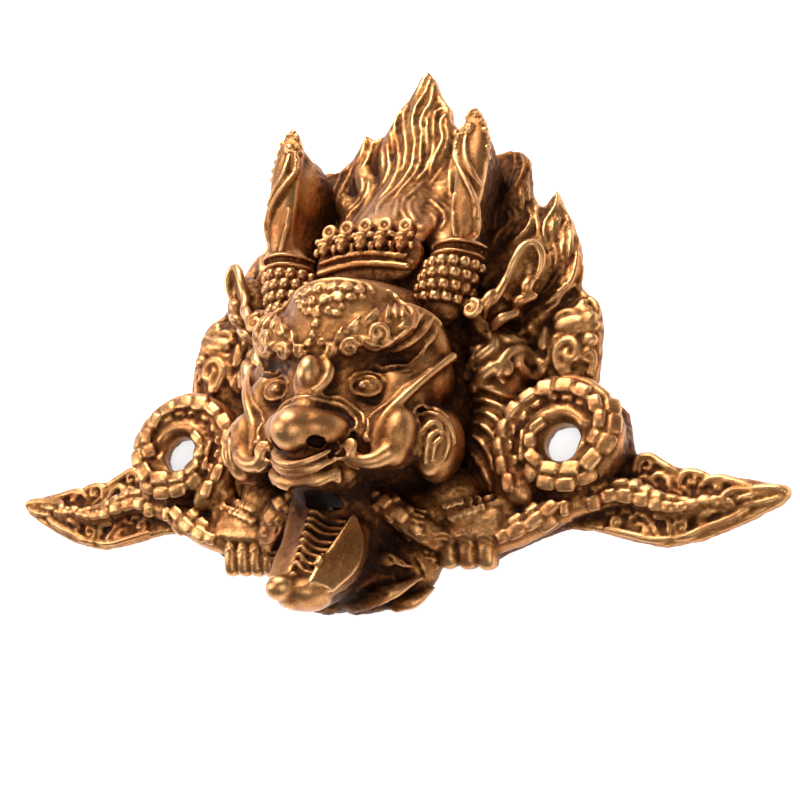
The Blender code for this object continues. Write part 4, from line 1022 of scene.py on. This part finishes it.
def horn_forms():
    """A horn with its web and beaded sleeve."""
    top = HORN_TOP
    web = [tube([(30, 49, top - 10), (34, 60, top - 10), (36.5, 71, top - 11)], [9, 10.2, 8.4], sides=20),
           tube([(37.6, 70, top - 7), (38.6, 80, top - 5), (39.6, 92, top - 4), (40, 106, top - 3.4),
                 (39.4, 118, top - 3), (39.3, 123.4, top - 1.8)], [4.6, 5.0, 6.2, 6.6, 5.2, 2.4], flat=0.6,
                sides=16),
           egg((36.6, 102, 17), (5, 15, 14))]
    web.append(sheet([(36.5, 66, top - 9), (38, 80, top - 7), (39, 94, top - 6), (39.6, 108, top - 5.4),
                      (39.4, 119, top - 4.6)],
                     [(34, 64, 1.5), (34.6, 78, 1.5), (35, 90, 1.5), (35.4, 101, 1.5), (35.8, 108, 2)], 8.4))
    body = skin(web, 1.0, 12)
    ground = Ground([body])
    forms = [body]
    rib = [(34.6, 113, 35), (33.6, 109, 34.6), (34, 104.6, 34.6), (37.4, 98.8, 35.6), (40, 95, 35),
           (41.8, 91.6, 33.4), (43, 87.6, 31.6), (43, 82, 29.6), (41.6, 76, 28), (40, 71.6, 28)]
    forms.append(ground.strand(rib, [1.3, 1.5, 1.6, 1.5, 1.4, 1.3, 1.2, 1.1], lift=0.7))
    forms += ground.beads(rib, (0.95, 0.95, 0.9), 1.35, lift=1.7)
    forms.append(ground.strand([(37.6, 112, 35.4), (38, 107, 35.6), (39.4, 102, 35), (42, 97.7, 33.6),
                                (44, 93, 31)],
                               [1.0, 1.4, 1.5, 1.3, 0.8], lift=0.5))
    forms.append(ground.strand([(35.4, 90, 32), (36.6, 82, 29.6), (37.4, 75, 28)], [0.8, 1.2, 1.0], lift=0.4))
    forms.append(ground.curl((38.2, 115.6, 34.6), 2.2, 200, 1.1, 1, 0.95))
    for place in ((36.4, 121, 33), (38, 122.6, 33.4), (34.4, 117, 33), (33, 114.4, 32.6), (40.6, 121.4, 33),
                  (42.6, 118.4, 32.4), (43.8, 115, 31.6), (44.6, 111.6, 31), (44.8, 108, 31),
                  (44.8, 104.4, 30.6)):
        spot, _ = ground.near(place)
        forms.append(bead(spot, (1.3, 1.3, 1.2)))
    for ring, (up, back) in enumerate([(50, 0.6), (54.6, 0.2), (59.2, 0), (63.8, 0.4)]):
        for number in range(8):
            angle = math.radians(-84 + 24 * number + 10 * (ring % 2))
            out = np.array((math.sin(angle), 0, math.cos(angle)))
            spot = np.array((sleeve_middle(up), up, top - 10.4 - back)) + HORN_RADIUS * out
            forms.append(pad(spot, (0, 1, 0), out, (2.0, 1.9, 2.0), 4))
    for number in range(16):
        angle = math.radians(-84 + 11.4 * number)
        for up in (67.6, 71.4):
            out = np.array((math.sin(angle), 0, math.cos(angle)))
            forms.append(bead(np.array((35.8, up, top - 11.2)) + RING_RADIUS * out, (0.8, 0.8, 0.9)))
    for up in (67.6, 71.4):
        ring = [(sleeve_middle(up) + 10 * math.sin(a), up, top - 10.5 + 10 * math.cos(a))
                for a in np.radians([-85, -60, -30, 0, 30, 60, 85])]
        forms.append(tube(ring, 0.7, sides=8, out=(0, 1, 0)))
    return forms


def ear_forms():
    """A pointed leaf with a rolled rim, and the curl and leaves at its root."""
    rim = [(50, 48.6, 24), (53.3, 52.5, 24.4), (54.8, 57.8, 22.6), (56.4, 61.8, 22.6), (58, 66, 23.4),
           (60.2, 70.6, 23), (62.5, 72.8, 22), (65, 72.4, 21), (66.9, 69.3, 20), (66.7, 65.4, 19),
           (65, 60.6, 18)]
    forms = [skin([egg((58.6, 62, 12), (6.4, 13, 7), turn=(0, -10, -34)),
                   sheet(rim[1:9], [(58, 50, 13), (60, 54, 14), (61.4, 57, 15), (62.6, 60, 15.4),
                                    (63.8, 63, 16),
                                    (64.6, 65, 16.4), (65.4, 67, 17), (66, 68, 18)], 2.6)], 0.8, 4),
             tube(rim, [1.8, 1.9, 1.8, 1.7, 1.7, 1.8, 1.7, 1.6, 1.5, 1.3, 0.8], sides=12),
             egg((50, 50, 17), (6, 6, 6)),
             scroll((45.4, 46.2), 3.6, 27.4, 90, 1.5),
             tube([(48.4, 45.4, 22), (49.6, 48.6, 25.4), (51.6, 52.4, 25.6), (52.6, 54.6, 24)],
                  [1.4, 2.3, 1.9, 0.7],
                  sides=10)]
    for line, thick in (([(61, 60, 17), (62.2, 63.4, 18.8), (63.6, 67, 18.6)], 1.7),
                        ([(60.4, 54.4, 17), (62, 57.8, 18.8), (63.4, 61.4, 17.6)], 2.1),
                        ([(56.6, 50.4, 17), (60.4, 52, 19.4), (64.2, 54.6, 16.6)], 1.9),
                        ([(50.6, 43, 19), (54, 45, 20.4), (58.6, 47.8, 18)], 1.9)):
        forms.append(tube(line, [1.1 * thick, 1.2 * thick, 0.8 * thick], sides=10))
    return forms


# From forms to metal

def hollow_forms(gap):
    """The hollow behind the face and throat, larger by the gap."""
    shrink = WALL - gap
    forms = [egg(centre, [r - shrink for r in reach], down=down - shrink, square=square)
             for centre, reach, down, square in HEAD_FORMS]
    centre, reach = THROAT
    forms.append(egg(centre, [r + gap for r in reach]))
    return forms


def cut_away(made, forms, grain=None):
    """Cuts forms out of a piece, melted into one first where a grain is given."""
    cutter = as_object("cutter", forms) if grain is None else melt("cutter", forms, grain)
    apply_modifier(made, "BOOLEAN", operation="DIFFERENCE", object=cutter, solver="MANIFOLD")
    bpy.data.objects.remove(cutter)


def rest_on(made, level):
    """Flattens what lies below a level over the wall side."""
    co = vertex_array(made.data)
    co[:, 2] = np.maximum(co[:, 2], level * MM)
    move_points(made.data, kept_inside(co))


def map_cell(co, low):
    """The cell of the height map under each point."""
    return ((co[:, :2] - low) / MAP_STEP).astype(int)


def height_map(pieces):
    """How high the metal stands over each cell of the wall, and where the first cell lies."""
    low = np.array(cad_box[0][:2]) / MM - MAP_EDGE
    size = np.ceil((np.array(cad_box[1][:2]) / MM + MAP_EDGE - low) / MAP_STEP).astype(int)
    heights = np.zeros(size)
    for piece in pieces:
        co = vertex_array(piece.data) / MM
        cell = map_cell(co, low)
        np.maximum.at(heights, (cell[:, 0], cell[:, 1]), co[:, 2])
    filled = heights
    for shift in ((1, 0), (-1, 0), (0, 1), (0, -1)):
        filled = np.maximum(filled, np.roll(heights, shift, (0, 1)))
    return np.where(heights > 0, heights, filled), low


def box_mean(values, reach):
    """Mean over a square of cells that reaches so far to each side."""
    for axis in (0, 1):
        total = np.cumsum(np.concatenate([np.zeros_like(np.take(values, [0], axis)), values], axis), axis)
        count = values.shape[axis]
        high = np.minimum(np.arange(count) + reach + 1, count)
        low = np.maximum(np.arange(count) - reach, 0)
        shape = [1, 1]
        shape[axis] = count
        values = (np.take(total, high, axis) - np.take(total, low, axis)) / (high - low).reshape(shape)
    return values


# Where the patina stays deep and where the metal is rubbed bright: middle, reach and amount. The spot over
# the eye sockets is deeper patina and painted shade under the brow; the spots on the walls of the coils'
# holes and inside the mouth are painted shade.
PATINA_AND_SHADE = [
    # The first darkens the eye sockets: deeper patina and painted shade under the brow
    ((19, 11, 46), 10, -0.36), ((60, 90, 8), 18, 0.12), ((0, 61, 30), 6, -0.2), ((30, 18, 38), 9, -0.12),
    ((0, -30, 44), 9, -0.4), ((4, -45, 42), 10, -0.25), ((18, -46, 24), 13, -0.3),
    ((24, -27, 22), 12, -0.3), ((0, -16, 54), 5, -0.1), ((22, -4, 46), 6, -0.15),
    ((12, -60, 16), 12, -0.15), ((38, -14, 14), 12, -0.2), ((36, 44, 32), 10, -0.15),
    ((0, 58, 30), 10, -0.2), ((-2, -7, 66), 7, 0.3), ((0, 14, 60), 5, 0.25), ((14, 36, 53), 7, 0.22),
    ((47, -29, 14), 8, 0.35), ((31, -7, 46), 9, -0.24), ((36, 90, 14), 16, -0.1),
    ((52, 34, 10), 10, 0.18), ((56, -4, 8), 10, 0.12), ((6, -64, 48), 8, -0.2), ((18, -48, 37), 9, -0.22),
    # The last two darken the wall of each coil's hole and the inside of the mouth: painted shade
    ((8, -44, 39), 8, -0.2), ((80, 0, 9), 8.4, -0.9), ((0, -28, 28), 15, -0.9)]


# Lumps of the casting's skin: size and height
LUMPS = ((2.6, 0.45), (1.3, 0.4))
LATTICE = 64                 # cells after which the lumps repeat, more than the casting holds of them
LATTICE_SHIFT = 200          # keeps every cell number above zero


def roughened(pieces):
    """The skin of a rough casting: lumps of 1 to 3 mm, least where hands and cloths have smoothed it."""
    lattice = np.random.default_rng(7).random((LATTICE, LATTICE, LATTICE)) - 0.5
    heights, low = height_map(pieces)
    around = box_mean(box_mean(heights, 6), 6)
    for piece in pieces:
        co = vertex_array(piece.data)
        normals = vertex_array(piece.data, "normal")
        cell = map_cell(co / MM, low)
        deep = np.clip(0.75 - (co[:, 2] / MM - around[cell[:, 0], cell[:, 1]]) / 2.0, 0.05, 1)
        lump = np.zeros(len(co))
        for size, height in LUMPS:
            spot = co / MM / size + LATTICE_SHIFT
            base = np.floor(spot).astype(int)
            part = spot - base
            part = part * part * (3 - 2 * part)
            for corner in np.ndindex(2, 2, 2):
                share = np.prod(np.where(corner, part, 1 - part), axis=1)
                i, j, k = ((base + corner) % LATTICE).T
                lump += height * share * lattice[i, j, k]
        move_points(piece.data, kept_inside(co + normals * (lump * deep * MM)[:, None]))


def set_wear_and_shade(pieces):
    """Stores where the metal stands proud and is rubbed, where it is deep and stays dark, and the spots of
    painted shade.
    """
    heights, low = height_map(pieces)
    near = box_mean(box_mean(heights, 4), 4)
    wide = box_mean(box_mean(heights, 13), 13)
    for piece in pieces:
        mesh = piece.data
        co = vertex_array(mesh)
        normals = vertex_array(mesh, "normal")
        edges = np.empty(len(mesh.edges) * 2, np.int32)
        mesh.edges.foreach_get("vertices", edges)
        a, b = edges.reshape(-1, 2).T
        count = len(co)
        degree = np.maximum(np.bincount(a, minlength=count) + np.bincount(b, minlength=count), 1)[:, None]

        def blurred(values, rounds):
            for _ in range(rounds):
                total = np.stack([np.bincount(a, values[b, i], count) + np.bincount(b, values[a, i], count)
                                  for i in range(values.shape[1])], 1)
                values = 0.5 * values + 0.5 * total / degree
            return values

        # Sharp crests and creases, then swells and dips of a few millimetres
        fine = blurred(co, 5)
        broad = blurred(fine, 24)
        proud = (0.30 * np.tanh(np.einsum("ij,ij->i", co - fine, normals) / MM / 0.08)
                 + 0.50 * np.tanh(np.einsum("ij,ij->i", co - broad, normals) / MM / 0.45))
        cell = map_cell(co / MM, low)
        # Height over the metal within 2 mm, and within 7 mm
        high = co[:, 2] / MM
        stands = (0.26 * np.tanh((high - near[cell[:, 0], cell[:, 1]] + 0.3) / 1.5)
                  + 0.26 * np.tanh((high - wide[cell[:, 0], cell[:, 1]] + 3.0) / 6.0))
        wear_and_shade = blurred((proud + stands)[:, None], 1)[:, 0]
        # The patina and the painted shade of both sides are alike
        folded = co / MM - (0, HOLE_LINE, 0)
        folded[:, 0] = np.abs(folded[:, 0])
        for middle, reach, amount in PATINA_AND_SHADE:
            wear_and_shade += amount * np.exp(-((folded - middle) ** 2).sum(1) / reach ** 2)
        layer = mesh.attributes.new("wear_and_shade", "FLOAT", "POINT")
        layer.data.foreach_set("value", (0.5 + 0.5 * np.clip(wear_and_shade, -1, 1)).astype(np.float32))


def incised(made, grooves):
    """Cuts narrow lines into the skin of a piece."""
    mesh = made.data
    co = vertex_array(mesh) / MM - np.array((0, HOLE_LINE, 0))
    normals = vertex_array(mesh, "normal")
    for line, width, depth in grooves:
        path = curve_through(line, 16)
        inside = np.all((co > path.min(0) - width) & (co < path.max(0) + width), axis=1)
        spots = np.nonzero(inside)[0]
        if len(spots) == 0:
            continue
        far = np.sqrt(((co[spots, None] - path[None]) ** 2).sum(2)).min(1) / width
        co[spots] -= normals[spots] * (depth * np.clip(1 - far ** 2, 0, 1) ** 2)[:, None]
    move_points(mesh, (co + np.array((0, HOLE_LINE, 0))) * MM)


# Material

def linear(colour):
    """An sRGB hex colour as linear light."""
    values = [int(colour[i:i + 2], 16) / 255 for i in (1, 3, 5)]
    return [v / 12.92 if v <= 0.04045 else ((v + 0.055) / 1.055) ** 2.4 for v in values] + [1]


def node(tree, kind, settings=None, inputs=None, links=None):
    """Adds a node with its settings, input values and incoming links."""
    made = tree.nodes.new(kind)
    for key, value in (settings or {}).items():
        setattr(made, key, value)
    for key, value in (inputs or {}).items():
        made.inputs[key].default_value = value
    for key, source in (links or {}).items():
        tree.links.new(source, made.inputs[key])
    return made


def set_ramp(made, stops):
    ramp = made.color_ramp
    while len(ramp.elements) > 1:
        ramp.elements.remove(ramp.elements[-1])
    ramp.elements[0].position, ramp.elements[0].color = stops[0]
    for position, colour in stops[1:]:
        ramp.elements.new(position).color = colour


def cast_brass():
    """Lost-wax brass with a brown patina: dark in the hollows and in the spots of painted shade, golden where
    hands have rubbed it.
    """
    material = bpy.data.materials.new("patinated_cast_brass")
    material.use_nodes = True
    tree = material.node_tree
    shader = tree.nodes["Principled BSDF"]
    place = node(tree, "ShaderNodeTexCoord").outputs["Object"]
    # Patina, rubbed metal and the spots of painted shade, as stored on the mesh
    wear_and_shade = node(tree, "ShaderNodeAttribute", {"attribute_name": "wear_and_shade"}).outputs["Fac"]
    # Patina goes on unevenly: clouds of about 12 mm, blotches of 3 mm and grain of 0.6 mm
    clouds = node(tree, "ShaderNodeTexNoise", inputs={"Scale": 80, "Detail": 3}, links={"Vector": place})
    blotch = node(tree, "ShaderNodeTexNoise", inputs={"Scale": 330, "Detail": 4, "Roughness": 0.6},
                  links={"Vector": place})
    grain = node(tree, "ShaderNodeTexNoise", inputs={"Scale": 1600, "Detail": 4, "Roughness": 0.7},
                 links={"Vector": place})
    stir = node(tree, "ShaderNodeMath", {"operation": "MULTIPLY_ADD"}, {1: 0.4, 2: -0.6},
                {0: blotch.outputs["Fac"]})
    stir_fine = node(tree, "ShaderNodeMath", {"operation": "MULTIPLY_ADD"}, {1: 0.8},
                     {0: grain.outputs["Fac"], 2: stir.outputs[0]})
    level = node(tree, "ShaderNodeMath", {"operation": "ADD", "use_clamp": True}, None,
                 {0: wear_and_shade, 1: stir_fine.outputs[0]})
    tone = node(tree, "ShaderNodeValToRGB", links={"Fac": level.outputs[0]})
    set_ramp(tone, [(0.0, linear("#2e180c")), (0.2, linear("#472712")), (0.4, linear("#6b4121")),
                    (0.58, linear("#875a31")), (0.78, linear("#a97546")), (1.0, linear("#cc9966"))])
    ruddy = node(tree, "ShaderNodeMix", {"data_type": "RGBA", "blend_type": "MULTIPLY"},
                 {"B": linear("#d99a80")}, {"A": tone.outputs["Color"]})
    patch = node(tree, "ShaderNodeMapRange", {}, {"From Min": 0.45, "From Max": 0.72, "To Max": 0.5},
                 {"Value": clouds.outputs["Fac"]})
    tree.links.new(patch.outputs[0], ruddy.inputs["Factor"])
    tree.links.new(ruddy.outputs["Result"], shader.inputs["Base Color"])
    # The patina in the hollows and the spots of painted shade are dull and barely metallic, the rubbed metal
    # is bright
    metal = node(tree, "ShaderNodeMapRange", {}, {"From Min": 0.1, "From Max": 0.4, "To Min": 0.85,
                                                  "To Max": 1.0}, {"Value": level.outputs[0]})
    tree.links.new(metal.outputs[0], shader.inputs["Metallic"])
    rough = node(tree, "ShaderNodeMapRange", {}, {"From Min": 0.15, "From Max": 0.9, "To Min": 0.54,
                                                  "To Max": 0.3}, {"Value": level.outputs[0]})
    tree.links.new(rough.outputs[0], shader.inputs["Roughness"])
    # Casting skin: pits and grain under a millimetre, deeper where nothing has rubbed them down
    depth = node(tree, "ShaderNodeMapRange", {}, {"From Min": 0.25, "From Max": 0.8, "To Min": 0.9,
                                                  "To Max": 0.28}, {"Value": wear_and_shade})
    bump = node(tree, "ShaderNodeBump", inputs={"Distance": 0.0005},
                links={"Height": grain.outputs["Fac"], "Strength": depth.outputs[0]})
    bump_broad = node(tree, "ShaderNodeBump", inputs={"Strength": 0.16, "Distance": 0.0007},
                      links={"Height": blotch.outputs["Fac"], "Normal": bump.outputs["Normal"]})
    tree.links.new(bump_broad.outputs["Normal"], shader.inputs["Normal"])
    return material


HEAD_REACH = 0.062           # from the middle of the floor to the edge of the head, in metres


def glowing_floor():
    """Matt white board that glows as painted light: it only gives a soft light from below and a faint shadow.
    """
    material = bpy.data.materials.new("glowing_white_board")
    material.use_nodes = True
    tree = material.node_tree
    shader = tree.nodes["Principled BSDF"]
    place = node(tree, "ShaderNodeTexCoord").outputs["Object"]
    fibre = node(tree, "ShaderNodeTexNoise", inputs={"Scale": 60, "Detail": 2}, links={"Vector": place})
    tone = node(tree, "ShaderNodeMix", {"data_type": "RGBA"},
                {"A": linear("#fafafa"), "B": linear("#f7f7f6")},
                {"Factor": fibre.outputs["Fac"]})
    tree.links.new(tone.outputs["Result"], shader.inputs["Base Color"])
    shader.inputs["Roughness"].default_value = 0.9
    # Painted light: the board glows as a light table does, so the ground stays white in the holes and the
    # shadows
    shader.inputs["Emission Color"].default_value = linear("#ffffff")
    far = node(tree, "ShaderNodeVectorMath", {"operation": "LENGTH"}, links={0: place})
    # The glow is left off under the head, so the floor under its hollow stays dark where it shows through the
    # mouth: painted shade
    glow = node(tree, "ShaderNodeMapRange", {}, {"From Min": HEAD_REACH, "From Max": HEAD_REACH + 0.01,
                                                 "To Max": 0.7},
                {"Value": far.outputs["Value"]})
    tree.links.new(glow.outputs[0], shader.inputs["Emission Strength"])
    return material


# The pieces: where the mouth and a nostril are cut, as middle and reach

MOUTH = ((2.4, -28.4, 40), (7.6, 2.7, 20))
NOSTRIL = ((7.6, -12.2, 57.4), (3.6, 2.3, 4))


def on_side(grooves, side):
    """The same lines on the right (1) or the left (-1)."""
    return [([(side * x, y, z) for x, y, z in line], width, depth) for line, width, depth in grooves]


def open_face(piece):
    """Cuts the mouth and nostrils, and the lines of the face."""
    cut_away(piece, [egg(*MOUTH)])
    (across, up, out), reach = NOSTRIL
    cut_away(piece, [egg((side * across, up, out), reach) for side in (1, -1)])
    grooves = FACE_GROOVES + BEARD_GROOVES
    incised(piece, LIP_GROOVES + grooves + on_side(grooves, -1))


def open_coil(piece, side):
    """Cuts the hole through a coil and the hollow behind it, and the lines of the beard beside it."""
    incised(piece, on_side(BEARD_GROOVES, side))
    middle = (side * COIL[0], COIL[1])
    cut_away(piece, [disc(middle, HOLE_RADIUS, BEHIND, BEFORE)])
    cut_away(piece, [disc(middle, COIL_HOLLOW, BEHIND, COIL_TOP - HOLE_DEPTH)])


def thinned(piece):
    """Takes a piece under the limit on triangles where it is over it."""
    piece.data.calc_loop_triangles()
    count = len(piece.data.loop_triangles)
    if count > MOST_TRIANGLES:
        apply_modifier(piece, "DECIMATE", ratio=MOST_TRIANGLES / count)
        rest_on(piece, 0)


def build_mask():
    coarse = 1.0
    brass = cast_brass()
    horn = horn_forms() + ear_forms()
    # Name, forms, grain of the skin, and how far the piece stays off the wall
    specs = [("flame_plate", plate_piece(), 0.62, 0.15),
             ("right_snake", snake_piece(RIGHT_HAND_EDGE, 0), 0.55, 0.0),
             ("left_snake", mirrored(snake_piece(LEFT_HAND_EDGE, LEFT_DROP)), 0.55, 0.0),
             ("head", head_piece(), 0.5, 0.3),
             ("crown", crown_forms(), 0.4, 0.3),
             ("right_horn", horn, 0.5, 0.3),
             ("left_horn", mirrored(horn), 0.5, 0.3)]
    made = []
    for name, forms, grain, level in specs:
        piece = melt(name, forms, grain * coarse, 1)
        cut_away(piece, hollow_forms(0 if name == "head" else CLEAR_OF_HOLLOW), HOLLOW_GRAIN)
        if name == "head":
            open_face(piece)
        if "snake" in name:
            open_coil(piece, 1 if name.startswith("right") else -1)
        rest_on(piece, level)
        made.append(piece)
    # The wear and the painted shade are read from the even skin, before its flat parts are thinned
    roughened(made)
    set_wear_and_shade(made)
    for piece in made:
        thinned(piece)
        piece.data.materials.clear()
        piece.data.materials.append(brass)
        piece.data.polygons.foreach_set("use_smooth", [True] * len(piece.data.polygons))
        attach(piece, "root")
        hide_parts("garuda_mask")


# Studio, in metres and watts

LIT = (0, 0, 0.02)
FLOOR_SIZE = 6
SKY = 0.24
# The photograph's view, found by laying the outline of the casting over the picture
VIEW_ANGLES = (30.0, -18.24, 7.74)    # turn to the right, rise and roll
VIEW_DISTANCE = 0.766
VIEW_TARGET = (0.00548, (23.42 + HOLE_LINE) * MM, 0)
SENSOR = 36
FOCAL_SHARE = 2054 / 800              # focal length over the width of the picture


def lamp(name, place, size, power):
    """A white soft box that looks at the middle of the face."""
    data = bpy.data.lights.new(name, "AREA")
    data.shape = "RECTANGLE"
    data.size, data.size_y = size
    data.energy = power
    made = bpy.data.objects.new(name, data)
    made.location = place
    made.rotation_euler = (Vector(LIT) - Vector(place)).to_track_quat("-Z", "Y").to_euler()
    bpy.context.scene.collection.objects.link(made)


def set_stage():
    """A glowing white board under the casting, a soft window light from above and two weaker ones."""
    bpy.ops.object.select_all(action="DESELECT")
    bpy.ops.mesh.primitive_plane_add(size=FLOOR_SIZE, location=(0, 0, 0))
    floor = bpy.context.object
    floor.name = "floor"
    floor.data.materials.append(glowing_floor())
    lamp("window_light", (-0.32, 0.86, 0.80), (0.7, 0.5), 20)
    lamp("left_light", (-0.95, -0.05, 0.75), (0.3, 0.7), 8)
    lamp("front_light", (0.6, -0.45, 0.95), (0.6, 0.6), 5)
    world = bpy.data.worlds.new("studio")
    world.use_nodes = True
    world.node_tree.nodes["Background"].inputs["Color"].default_value = (1, 1, 1, 1)
    world.node_tree.nodes["Background"].inputs["Strength"].default_value = SKY
    bpy.context.scene.world = world


def set_camera():
    """The photograph's view: from the mask's lower right, a little below the face."""
    turn, rise, roll = (math.radians(a) for a in VIEW_ANGLES)
    away = Vector((math.sin(turn) * math.cos(rise), math.sin(rise), math.cos(turn) * math.cos(rise)))
    right = Vector((math.cos(turn), 0, -math.sin(turn)))
    up = away.cross(right)
    across = right * math.cos(roll) + up * math.sin(roll)
    upward = -right * math.sin(roll) + up * math.cos(roll)
    data = bpy.data.cameras.new("camera")
    data.sensor_width = SENSOR
    data.lens = SENSOR * FOCAL_SHARE
    data.clip_start = 0.01
    camera = bpy.data.objects.new("camera", data)
    place = away * VIEW_DISTANCE + Vector(VIEW_TARGET)
    camera.matrix_world = Matrix((*((across[i], upward[i], away[i], place[i]) for i in range(3)),
                                  (0, 0, 0, 1)))
    bpy.context.scene.collection.objects.link(camera)
    bpy.context.scene.camera = camera


bpy.context.scene.view_settings.view_transform = "Standard"
set_camera()
set_stage()
build_mask()
